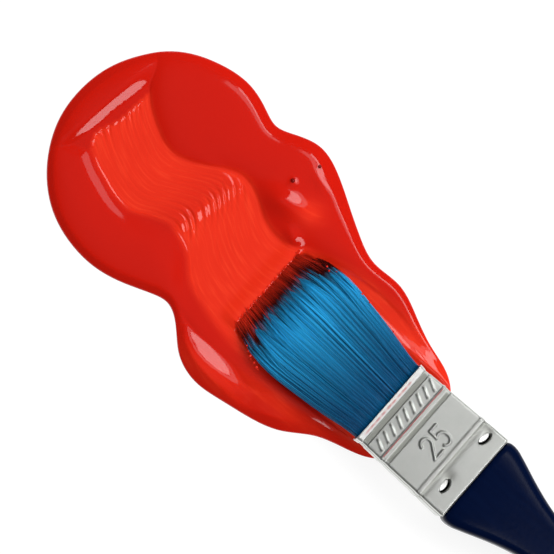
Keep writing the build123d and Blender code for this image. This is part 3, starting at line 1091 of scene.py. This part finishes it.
def grow_filaments(name, count, seed, levels, longest, point, diameter, clean):
    """One layer of the tuft, spread over its section between two levels, and tapering to its tips.
    The clean layer tapers more, and its locks gather more, than the two layers in the paint."""
    draw = np.random.default_rng(seed)
    side = draw.uniform(-1, 1, count)
    level = draw.uniform(*levels, count)
    number, middle, off = in_lock(side)
    lock_reach = np.random.default_rng(7).uniform(-1, 1, 40)[number]
    bundles = ripples(side * 15, 41, 0.35, 1.3, 12)
    end = filament_ends(draw, side, off, lock_reach, longest, point, clean)
    gathered, taper = (0.36, 0.80) if clean else (0.12, 0.45)
    x, paths = filament_paths(draw, side, level, middle, end, bundles, gathered)
    radii = 0.5 * diameter * draw.uniform(0.8, 1.2, (count, 1))
    radii = radii * (1 - taper * ease(0.8, 1.0, ALONG_FILAMENT))
    piece = tubes(name, to_world(paths), radii, filament)
    mark_filaments(piece, draw, side, x, end, bundles, lock_reach, clean)
    start = to_world(np.array([0.0, 0, 0])) * MM
    end_of_bend = to_world(np.array([BENT_AT, 0, 0])) * MM
    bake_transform(piece)
    print(f"{name}: {count} filaments, the longest to {-end.min():.1f} mm")
    return piece


upper = grow_filaments("upper_filament_strands", 3200, 11, (0.25, 1.0), 39.0, 2.3, 0.20, True)
core = grow_filaments("core_filament_strands", 3200, 12, (-0.33, 0.62), 45.0, 0.7, 0.19, False)
lower = grow_filaments("lower_filament_strands", 2200, 13, (-1.0, -0.30), 44.2, 0.8, 0.19, False)
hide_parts("upper_filaments")
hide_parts("core_filaments")
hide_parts("lower_filaments")

# %% [markdown]
# ## Paint on the tips
#
# Where the tips press into the pool the paint hangs on them as a thin lumpy bead.  Loose drops
# would float off the tips, so it is one closed tube laid across them, whose thickness swells at
# each drop.

# %% Paint held on the tips
load_paint = Finish("red_paint_on_tips", Roughness=0.09, IOR=1.5)
drip = load_paint.grain(load_paint.place(), 0.8, 2.0)
load_paint.set("Base Color", load_paint.blend(drip, (0.55, 0.010, 0.004), (0.74, 0.026, 0.008)))
DROPS = [9.6, 7.4, 5.5, 4.1, 2.5, 0.5, -1.2, -3.0, -4.3, -5.5, -8.0, -9.0]
DROP_WIDTH = 0.27
TIPS_X = -44.5
BEAD_LEVEL = 0.72


def build_paint_load():
    """Rings round a line across the tips.  Each ring is an ellipse: its height and its reach grow
    at the drops as bells, its front edge wanders, and it droops past the tips."""
    side = np.linspace(-0.98, 0.98, 420)
    y = in_tuft(np.full(side.shape, TIPS_X), side, 0 * side)[:, 1]
    around = np.linspace(0, 2 * np.pi, 22, endpoint=False)
    drops = sum(bell(y - place, DROP_WIDTH) for place in DROPS)
    lumps = ripples(y, 31, 0.5, 1.6)
    taper = np.sqrt(np.clip(1 - side ** 8, 0, 1))
    tall = (0.03 + 0.34 * drops + 0.02 * lumps) * taper
    reach_out = (0.32 + 0.20 * drops + 0.08 * ripples(y, 32, 0.8, 2.5)) * taper
    centre_x = -44.7 + 0.22 * ripples(y, 33, 1.2, 5.0)
    x = centre_x[:, None] - reach_out[:, None] * np.cos(around)
    path = in_tuft(x, side[:, None] + 0 * x, BEAD_LEVEL + 0 * x)
    path[..., 2] += tall[:, None] * np.sin(around) - 0.45 * ease(-44.2, -45.4, x)
    return skin("paint_on_the_tips", to_world(path), load_paint)


paint_load = build_paint_load()
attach(paint_load, "tuft")
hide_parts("paint_load")

# %% [markdown]
# Flecks along the two edges of the tuft are domes of the same kind.  All are one mesh, because
# they share a finish and move together.

# %% Flecks of paint
# x, y, radius
FLECKS = [(-36.7, -14.3, 0.22), (-35.5, -14.9, 0.36), (-34.8, -15.4, 0.18), (-33.5, -15.6, 0.30),
          (-32.2, -16.1, 0.38), (-31.6, -16.3, 0.20), (-38.0, -13.4, 0.24), (-36.2, 16.9, 0.30),
          (-35.0, 16.4, 0.26), (-24.2, 17.3, 0.32), (-21.2, 17.0, 0.28), (-11.3, 15.2, 0.28),
          (-7.1, 14.3, 0.25), (-33.4, 17.6, 0.26)]
FLECK_LEVEL = 0.55
FLECK_FLATNESS = 0.7
FLECK_RINGS = 7
FLECK_AROUND = 12

fleck_rings = []
for x, y, radius in FLECKS:
    half_width, _, shift, _, _ = flow_at(np.array([x]))
    spot = in_tuft(np.array([x]), (y - shift) / half_width, np.array([FLECK_LEVEL]))[0]
    fleck_rings.append(dome_rings(spot, radius, FLECK_FLATNESS * radius, FLECK_RINGS, FLECK_AROUND))
fleck_points = to_world(np.array(fleck_rings))
per_fleck = FLECK_RINGS * FLECK_AROUND
one_fleck = grid_faces(FLECK_RINGS, FLECK_AROUND).tolist()
one_fleck += [list(range(FLECK_AROUND))[::-1], list(range(per_fleck - FLECK_AROUND, per_fleck))]
fleck_faces = [[corner + per_fleck * k for corner in face]
               for k in range(len(FLECKS)) for face in one_fleck]
flecks = make_piece("flecks_on_the_tuft", fleck_points.reshape(-1, 3), fleck_faces, load_paint)
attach(flecks, "tuft")

# %% [markdown]
# ## The ferrule
#
# A ferrule is one strip of tinplate, stamped with hoops and beads and folded round the tuft.  Its
# skin is a rounded rectangle carried along the brush, and the stamping is a height that pushes the
# skin out or in along its own normal.

# %% Round the sleeve
CORNER_RADIUS = 0.8
UPPER_POINTS = 172
LOWER_POINTS = 96
CORNER_POINTS = 6
SIDE_POINTS = 24


def rounded_ring(half_width, half_thick):
    """Points round a rounded rectangle, and their outward normals, for each row.  Four times over
    it takes a straight run along one face and a quarter circle into the next."""
    turn = np.linspace(0, np.pi / 2, CORNER_POINTS, endpoint=False)
    places, normals = [], []
    for face, count in enumerate((UPPER_POINTS, SIDE_POINTS, LOWER_POINTS, SIDE_POINTS)):
        facing = np.pi / 2 * (1 - face)
        out = np.array([math.cos(facing), math.sin(facing)])
        onward = np.array([math.sin(facing), -math.cos(facing)])
        reach_out = (half_thick if face % 2 == 0 else half_width)[:, None, None]
        run = ((half_width if face % 2 == 0 else half_thick) - CORNER_RADIUS)[:, None, None]
        step = np.linspace(-1, 1, count, endpoint=False)[None, :, None]
        places.append(out * reach_out + onward * run * step)
        normals.append(np.broadcast_to(out, (count, 2)))
        bend = np.cos(turn)[:, None] * out + np.sin(turn)[:, None] * onward
        places.append(out * (reach_out - CORNER_RADIUS) + onward * run + CORNER_RADIUS * bend)
        normals.append(bend)
    return np.concatenate(places, axis=1), np.concatenate(normals, axis=0)


print(UPPER_POINTS + LOWER_POINTS + 2 * SIDE_POINTS + 4 * CORNER_POINTS, "points round the sleeve")

# %% [markdown]
# The stamping is a rolled lip, two hoops, three grooves, a row of slanted beads, and the brush's
# width in millimetres as a raised number.  The number is drawn with a round tool, so its height
# depends only on the distance to its strokes, and no outlines have to be cut into the mesh.

# %% Strokes for the number and the beads
# middle x, y, slant in degrees
SLOTS = [(25.7, 9.6, 10.0), (25.9, -7.0, -5.0)]
SLOT_HALF = (1.15, 2.1)
TONGUE_BACK = 0.75
NUMBER_PLACE = (19.4, 0.2)
DIGIT_PITCH = 4.3
HALF_HOOP = 12.2
BEAD_PITCH = 2.67
BEAD_HEIGHT = 0.12
BEAD_RADIUS = 0.68
DIGIT_HEIGHT = 0.28
DIGIT_RADIUS = 0.66
SLOT_DEPTH = 1.3


def arc(middle, size, first, last, count=14):
    """Points along an ellipse's arc between two angles in degrees."""
    angle = np.radians(np.linspace(first, last, count))
    return [(middle[0] + size[0] * math.cos(t), middle[1] + size[1] * math.sin(t)) for t in angle]


TWO = arc((0, 4.45), (1.5, 1.6), 165, -35) + [(-1.55, 0.0), (1.65, 0.0)]
FIVE = [(1.35, 6.0), (-1.05, 6.0), (-1.25, 3.45)] + arc((-0.05, 1.95), (1.6, 1.95), 125, -140)


def stroke_distance(u, v, points):
    """The least distance from each (u, v) to a line through the points."""
    nearest = np.full(u.shape, 1e9)
    for (u0, v0), (u1, v1) in zip(points, points[1:]):
        du, dv = u1 - u0, v1 - v0
        t = np.clip(((u - u0) * du + (v - v0) * dv) / (du * du + dv * dv), 0, 1)
        nearest = np.minimum(nearest, np.hypot(u - u0 - t * du, v - v0 - t * dv))
    return nearest


def bead_lines():
    """The slanted beads between the first groove and the first hoop, each as its two end points."""
    middles = np.arange(-4, 5) * BEAD_PITCH + 0.4
    return [[(4.5, middle + 0.7), (7.1, middle - 0.7)] for middle in middles]


print(len(bead_lines()), "beads")

# %% [markdown]
# The two slots on each side are where a tongue of the sheet was lanced and bent in, to hold the wood.  A tongue
# keeps the outline of its slot, shifted towards the mouth, and slopes down from there.  A real hole isn't needed:
# what shows behind the tongue is only a dark crescent of shadow, which here is a sunk groove painted near black as
# painted shadow.

# %% The stamping


def band(x, low, high, ramp):
    """1 between low and high, falling to 0 over a ramp at each end."""
    return window(x, low - ramp / 2, low + ramp / 2, high - ramp / 2, high + ramp / 2)


def hoops(x):
    """Hoops and grooves that run right round the sleeve, in mm out of the plain sheet."""
    lip = (0.36 - 0.16 * x) * band(x, -1.0, 1.75, 0.30)
    return (lip - 0.12 * band(x, 1.85, 3.4, 0.30)
            + 0.16 * band(x, 8.1, 8.9, 0.35) - 0.09 * band(x, 9.75, 10.95, 0.45)
            + 0.15 * band(x, 21.15, 22.5, 0.80) - 0.10 * bell(x - 23.2, 0.5))


def slot_shares(x, y):
    """For the nearest slot: the distance from its middle as a share of its rim's, the same for the
    tongue, which is the slot's own outline moved towards the mouth, and how many mm the place is
    down the tongue's slope."""
    rim, tongue, down = (np.full(x.shape, 9.0) for _ in range(3))
    for middle_x, middle_y, slant in SLOTS:
        c, s = math.cos(math.radians(slant)), math.sin(math.radians(slant))
        v = (y - middle_y) * c + (x - middle_x) * s
        u = (x - middle_x) * c - (y - middle_y) * s
        own = np.hypot(u / SLOT_HALF[0], v / SLOT_HALF[1])
        nearer = own < rim
        rim = np.where(nearer, own, rim)
        moved = np.hypot((u + TONGUE_BACK) / SLOT_HALF[0], v / SLOT_HALF[1])
        tongue = np.where(nearer, moved, tongue)
        down = np.where(nearer, u + SLOT_HALF[0], down)
    return rim, tongue, down


def stamping(x, y, numbered):
    """How far the sheet stands out of its plain face at x along and y across, in mm."""
    out = hoops(x)
    for line in bead_lines():
        out = out + BEAD_HEIGHT * (1 - ease(0.0, BEAD_RADIUS, stroke_distance(x, y, line)))
    if numbered:
        for digit, place in ((TWO, -0.5), (FIVE, 0.5)):
            u = y - NUMBER_PLACE[1] - place * DIGIT_PITCH
            v = NUMBER_PLACE[0] - x
            out = out + DIGIT_HEIGHT * (1 - ease(0.0, DIGIT_RADIUS, stroke_distance(u, v, digit)))
    for middle_x, middle_y, slant in SLOTS:
        out = out - 0.22 * bell(x - middle_x + 1.2, 1.2) * bell(y - middle_y - 2.6, 1.3)
    rim, tongue, down = slot_shares(x, y)
    inside = 1 - ease(0.92, 1.06, rim)
    depth = np.where(tongue < 1.0, 0.05 + 0.26 * np.clip(down, 0, 2), SLOT_DEPTH)
    return out - inside * depth


middle_line = np.arange(0, 24, 4.0)
print("stamped height along the middle:", stamping(middle_line, 0 * middle_line, False).round(2))

# %% [markdown]
# Tinplate is bright but never a mirror.  A plain metal would look flat, and it is the shade in the hollows that
# makes a stamping readable.  So the grooves, the dents by the slots and the slope behind the last ridge are
# painted darker as painted shade.  The gaps behind the tongues, the seam's groove and the ends of the beads are
# painted near black as painted shadow.  The lip and the tongues are painted near white as painted highlights.  A
# thin trace of red paint has caught along the lip, and the red line on the ridge beside the beads is a painted
# reflection of the paint.

# %% Tinplate
tin = Finish("tinplate", Metallic=1.0)
scuffs = tin.grain(tin.place((0.25, 1.0, 1.0)), 0.5, 4.0, 0.6)
patches = tin.grain(tin.place(), 5.0, 3.0)
# Painted shade darkens the hollows, and painted shadow fills the gaps with near black.
painted_hollow_shade = tin.attribute("painted_hollow_shade")
painted_black_shadow = tin.attribute("painted_black_shadow")
paint_and_reflection = tin.attribute("paint_and_reflection")
tongue_highlight = tin.attribute("tongue")
bright = tin.blend(patches, (0.86, 0.87, 0.84), (0.76, 0.78, 0.74))
# The lip and the tongues are painted near white: painted highlights.
bright = tin.blend(tin.attribute("lip") + tongue_highlight, bright, (0.98, 0.98, 0.96))
shaded_tin = tin.blend(painted_hollow_shade, bright, (0.42, 0.43, 0.38))
# Red paint along the lip, and on the ridge beside the beads a painted reflection of the red paint.
with_paint_and_reflection = tin.blend(paint_and_reflection, shaded_tin, (0.55, 0.030, 0.030))
tin.set("Base Color", tin.blend(painted_black_shadow, with_paint_and_reflection, (0.008, 0.007, 0.007)))
tin.set("Roughness", 0.40 + scuffs * 0.12 - tongue_highlight * 0.16)
tin.relief(scuffs, 0.008)
print("tinplate:", len(tin.tree.nodes), "nodes")

# %% [markdown]
# The sleeve is thin sheet, folded shut with a seam along its narrow side.  Its outer skin carries the stamping,
# and its inner wall is plain, because the filaments and the wood hide it.  The outer skin's attributes then say
# where the painted shade, the painted shadow, the red paint with its painted reflection, and the painted
# highlights are.

# %% Build the ferrule
SEAM_SHARE = 0.50
END_DRAWN_IN = 0.22
WALL_IN = 0.35
# places along at which the CAD sleeve is measured
MEASURED_AT = (4.0, 27.0)


def ferrule_rows():
    """x of each ring, closest where the stamping is finest."""
    stretches = [(0, 11.2, 106), (11.2, 21.0, 64), (21.0, 24.0, 22), (24.0, 27.2, 34)]
    rows = [np.linspace(a, b, n, endpoint=False) for a, b, n in stretches]
    return np.concatenate(rows + [np.linspace(27.2, FERRULE_LENGTH, 10)])


def seam(above, near_side):
    """The folded seam along the near side: a groove, and below it the sheet's doubled edge."""
    return near_side * (0.12 * ease(0.0, 0.25, -above) - 0.32 * bell(above, 0.17))


def ferrule_marks(piece, place, y, above_seam, faces_up, near_side, inner_count):
    """Hangs the finish's five numbers on the outer skin, and 0 on the inner wall."""
    rim, tongue, _ = slot_shares(place, y)
    in_slot = 1 - ease(0.90, 1.0, rim)
    middle_part = 1 - ease(HALF_HOOP - 0.4, HALF_HOOP + 0.4, abs(y))
    # Painted shade: the dents by the slots, the two grooves and the slope behind the last ridge.
    dent_shades = sum(bell(place - a + 1.0, 1.0) * bell(y - b - 2.6, 1.2) for a, b, _ in SLOTS)
    hollow_shades = (band(place, 1.85, 3.4, 0.25) + band(place, 9.75, 10.95, 0.2)) * middle_part
    hollow_shades = hollow_shades + 0.7 * window(place, 22.2, 22.5, 22.6, 24.4) + 0.8 * dent_shades
    # Painted shadow, near black: the gap behind each tongue, the seam's groove and the ends of the beads.
    ends = sum(bell(np.hypot(place - a, y - b), 0.34) for line in bead_lines() for a, b in line)
    black_shadows = in_slot * ease(0.95, 1.05, tongue) * faces_up + bell(above_seam, 0.16) * near_side
    black_shadows = black_shadows + 0.55 * np.clip(ends, 0, 1) * (abs(y) < 12)
    streaky = np.clip(0.8 + 0.35 * ripples(y, 51, 1.0, 6.0), 0, 1)
    # The band on the ridge near 8.5 mm is a painted reflection of the red paint; the band along the lip is red
    # paint.
    paint_and_reflections = 0.9 * band(place, 8.35, 8.65, 0.25) * middle_part
    paint_and_reflections = paint_and_reflections + 0.62 * streaky * band(place, 0.70, 1.25, 0.35) * (
        1 - ease(8.5, 10.5, abs(y + 1)))
    back = np.zeros((inner_count, y.shape[1]))
    # The lip and the tongues get painted highlights.
    for name, amounts in {"painted_hollow_shade": 0.75 * hollow_shades, "painted_black_shadow": black_shadows, "lip": 1 - ease(1.6, 1.9, place),
                          "tongue": in_slot * (1 - ease(0.90, 1.0, tongue)) * faces_up,
                          "paint_and_reflection": np.clip(paint_and_reflections, 0, 1) * faces_up}.items():
        mark(piece, name, np.concatenate([np.clip(amounts, 0, 1), back]))


def build_ferrule():
    """The outer skin runs from the mouth to the end, turns over the sheet's edge, and comes back
    inside as a plain wall, so the sleeve is one closed sheet.  The wall keeps clear of the grooves,
    and of the slots, which are the deepest."""
    x = ferrule_rows()
    known = girth("ferrule", MEASURED_AT)
    growth = (known[1] - known[0]) / (MEASURED_AT[1] - MEASURED_AT[0])
    half = known[0] + growth * (x[:, None] - MEASURED_AT[0])
    ring, normals = rounded_ring(half[:, 0], half[:, 1])
    place = np.broadcast_to(x[:, None], ring.shape[:2])
    y = ring[..., 0]
    faces_up = ease(0.55, 0.95, normals[:, 1])
    faces_down = ease(0.55, 0.95, -normals[:, 1])
    sideways = 1 - faces_up - faces_down
    near_side = (y < 0) * sideways
    above_seam = ring[..., 1] - SEAM_SHARE * half[:, 1:2]
    out = (stamping(place, y, True) * faces_up + stamping(place, y, False) * faces_down
           + hoops(place) * sideways)
    out = out + seam(above_seam, near_side)
    out = out - END_DRAWN_IN * ease(FERRULE_LENGTH - 0.6, FERRULE_LENGTH, place) ** 2
    outer = np.concatenate([place[..., None], ring + out[..., None] * normals], axis=-1)
    inner_rows = np.append(np.linspace(len(x) - 1, 4, 40).astype(int), 0)
    inside_x = x[inner_rows]
    hidden = WALL_IN + 0.5 * band(inside_x, 1.5, 29, 2.0) + 1.0 * band(inside_x, 21, 29, 2.0)
    inner = ring[inner_rows] - hidden[:, None, None] * normals
    inner = np.concatenate([place[inner_rows][..., None], inner], axis=-1)
    sheets = np.concatenate([outer, inner])
    count, around = sheets.shape[:2]
    first = np.arange(around)
    last = (count - 1) * around + first
    close = np.stack([last, np.roll(last, -1), np.roll(first, -1), first], -1)
    faces = np.concatenate([grid_faces(count, around), close])[:, ::-1]
    piece = make_piece("stamped_ferrule", to_world(sheets.reshape(-1, 3)), faces.tolist(), tin)
    ferrule_marks(piece, place, y, above_seam, faces_up, near_side, len(inner_rows))
    return piece


ferrule = build_ferrule()
print(f"sleeve {2 * girth('ferrule', MEASURED_AT)[0, 0]:.1f} mm wide near the mouth")
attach(ferrule, "brush")
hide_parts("ferrule")

# %% [markdown]
# ## The handle
#
# The handle is shaped and sanded wood under thick lacquer.  Its sections come straight from the
# CAD node, and a superellipse |y/a|^n + |z/b|^n = 1 through them gives the soft, full shape of
# lacquered wood that a rounded rectangle only hints at.

# %% Navy lacquer
lacquer = Finish("navy_lacquer", Roughness=0.20, IOR=1.5, Specular_IOR_Level=0.06)
peel = lacquer.grain(lacquer.place(), 1.6, 2.0)
wood_lines = lacquer.grain(lacquer.place((0.1, 1, 1)), 1.2, 4.0)
lacquer.set("Base Color", lacquer.blend(wood_lines, (0.0008, 0.0044, 0.024),
                                        (0.0003, 0.0022, 0.015)))
lacquer.relief(peel, 0.03)
print("lacquer:", len(lacquer.tree.nodes), "nodes")

# %% [markdown]
# The shoulder stands proud of the ferrule behind a rounded front edge, and the tail is rounded in
# plan by the CAD outline and in thickness here.

# %% Build the handle
FULLNESS = 4.4
GAP_TO_FERRULE = 0.15
FRONT_ROUND = 1.6
FRONT_DROP = 0.9
TAIL_ROWS_FROM = 9.0
TAIL_ROUND = 3.0
TAIL_EDGE = 0.15


def quarter(share):
    """A quarter circle: 0 at share 0, upright there, and level at 1 from share 1 on."""
    return np.sqrt(np.clip(1 - (1 - np.clip(share, 0, 1)) ** 2, 0, 1))


def build_handle():
    """Rings of a superellipse from the shoulder's rounded front edge to the rounded tail."""
    start = FERRULE_LENGTH + GAP_TO_FERRULE
    bunched = np.linspace(0, np.pi / 2, 12, endpoint=False)
    x = np.concatenate([start + FRONT_ROUND * (1 - np.cos(bunched)),
                        np.linspace(start + FRONT_ROUND, HANDLE_END - TAIL_ROWS_FROM, 110,
                                    endpoint=False),
                        HANDLE_END - TAIL_ROWS_FROM * (1 - np.sin(np.linspace(0, np.pi / 2, 40)))])
    known = np.linspace(FERRULE_LENGTH + 0.3, HANDLE_END - 0.3, 60)
    sizes = girth("handle", known)
    drop = FRONT_DROP * (1 - quarter((x - start) / FRONT_ROUND))
    tail = quarter((HANDLE_END - x) / TAIL_ROUND)
    half_width = np.interp(x, known, sizes[:, 0]) - drop
    half_thick = (np.interp(x, known, sizes[:, 1]) - drop) * (TAIL_EDGE + (1 - TAIL_EDGE) * tail)
    angle = np.linspace(0, 2 * np.pi, 96, endpoint=False)
    y = np.sign(np.cos(angle)) * abs(np.cos(angle)) ** (2 / FULLNESS)
    z = np.sign(np.sin(angle)) * abs(np.sin(angle)) ** (2 / FULLNESS)
    rings = np.stack(np.broadcast_arrays(x[:, None], half_width[:, None] * y,
                                         half_thick[:, None] * z), -1)
    return skin("lacquered_handle", to_world(rings)[:, ::-1], lacquer)


handle = build_handle()

# %% [markdown]
# The hang hole is drilled through the tail and its edge is sanded round.  A hole in a grid of rings
# would tear its rows apart, so it is cut with a Boolean, as a drill cuts it.  The cutter flares at
# both faces, which leaves the rounded edge, and it is removed after the cut.

# %% Bore the hang hole
HOLE_RADIUS = 3.0
HOLE_BEVEL = 0.8
CUTTER_PAST_FACE = 3
SHARP_FROM = math.radians(40)


def drill(piece, middle, radius, face, bevel):
    """Bores a hole square to the brush's flat.  Its radius is constant between the faces, at plus
    and minus face, and flares there along a quarter circle, as a sanded edge does."""
    turn = np.linspace(0, np.pi / 2, 9)
    flare_z = face - bevel + bevel * np.sin(turn)
    flare_r = radius + bevel * (1 - np.cos(turn))
    beyond = face + CUTTER_PAST_FACE
    z = np.concatenate([[-beyond], -flare_z[::-1], flare_z, [beyond]])
    r = np.concatenate([[flare_r[-1]], flare_r[::-1], flare_r, [flare_r[-1]]])
    angle = np.linspace(0, 2 * np.pi, 64, endpoint=False)
    rings = [middle[0] + r[:, None] * np.cos(angle), middle[1] + r[:, None] * np.sin(angle),
             z[:, None] + 0 * angle]
    cutter = skin("hole_cutter", to_world(np.stack(rings, -1)), lacquer)
    cut = piece.modifiers.new("hang_hole", "BOOLEAN")
    cut.object = cutter
    bpy.context.view_layer.update()
    finished = piece.evaluated_get(bpy.context.evaluated_depsgraph_get())
    bored = bpy.data.meshes.new_from_object(finished)
    piece.modifiers.clear()
    piece.data = bored
    bored.set_sharp_from_angle(angle=SHARP_FROM)
    bpy.data.objects.remove(cutter)


hole_middle = to_brush(np.array(hang_hole["pos_m"], float) / MM)
hole_face = girth("handle", [hole_middle[0]])[0, 1]
drill(handle, hole_middle, HOLE_RADIUS, hole_face, HOLE_BEVEL)
print(f"hang hole {hole_middle[0]:.1f} mm behind the mouth, faces at {hole_face:.1f} mm,",
      len(handle.data.polygons), "faces")
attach(handle, "brush")
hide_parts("handle")

# %% [markdown]
# ## What the ferrule hides
#
# The filament roots, the spacer plug and the setting are CAD solids whose shape is right, so they
# stay, and only get finishes of their own.  They would show only with the ferrule taken off.

# %% Hidden pieces
roots = Finish("packed_filament_roots", Roughness=0.5)
speck = roots.grain(roots.place((0.05, 1, 1)), 0.25, 3.0)
roots.set("Base Color", roots.blend(speck, (0.004, 0.030, 0.090), (0.012, 0.110, 0.260)))
plug = Finish("plug_wood", Roughness=0.7)
figure = plug.grain(plug.place((0.15, 1, 1)), 0.8, 5.0)
plug.set("Base Color", plug.blend(figure, (0.62, 0.45, 0.28), (0.42, 0.27, 0.14)))
resin = Finish("set_resin", Roughness=0.3)
cloud = resin.grain(resin.place(), 1.5, 3.0)
resin.set("Base Color", resin.blend(cloud, (0.30, 0.22, 0.12), (0.20, 0.13, 0.06)))
for node, finish in {"filament_roots": roots, "spacer_plug": plug, "epoxy_setting": resin}.items():
    frame["nodes"][node].data.materials.clear()
    frame["nodes"][node].data.materials.append(finish.material)
    print(node, "wears", finish.material.name)

# %% [markdown]
# ## The table
#
# The table is a sheet of pale card.  It is lit from within a little, as a light table is, so that
# it comes out white while the light on the paint stays soft.  It lies a hair under the pool's flat
# underside, because two faces in one plane would flicker.

# %% Table
table_finish = Finish("pale_table", Roughness=0.9, Emission_Strength=0.80)
table_finish.set("Emission Color", (1, 1, 1, 1))
fleck = table_finish.grain(table_finish.place(), 0.6, 4.0)
table_finish.set("Base Color", table_finish.blend(fleck, (0.23, 0.23, 0.23), (0.21, 0.21, 0.21)))
TABLE_REACH = 1500
TABLE_UNDER = 0.05
corners = np.array([(-1, -1, 0), (1, -1, 0), (1, 1, 0), (-1, 1, 0)]) * TABLE_REACH
corners = corners - np.array([0, 0, TABLE_UNDER])
table = make_piece("table_top", corners, [[0, 1, 2, 3]], table_finish, smooth=False)
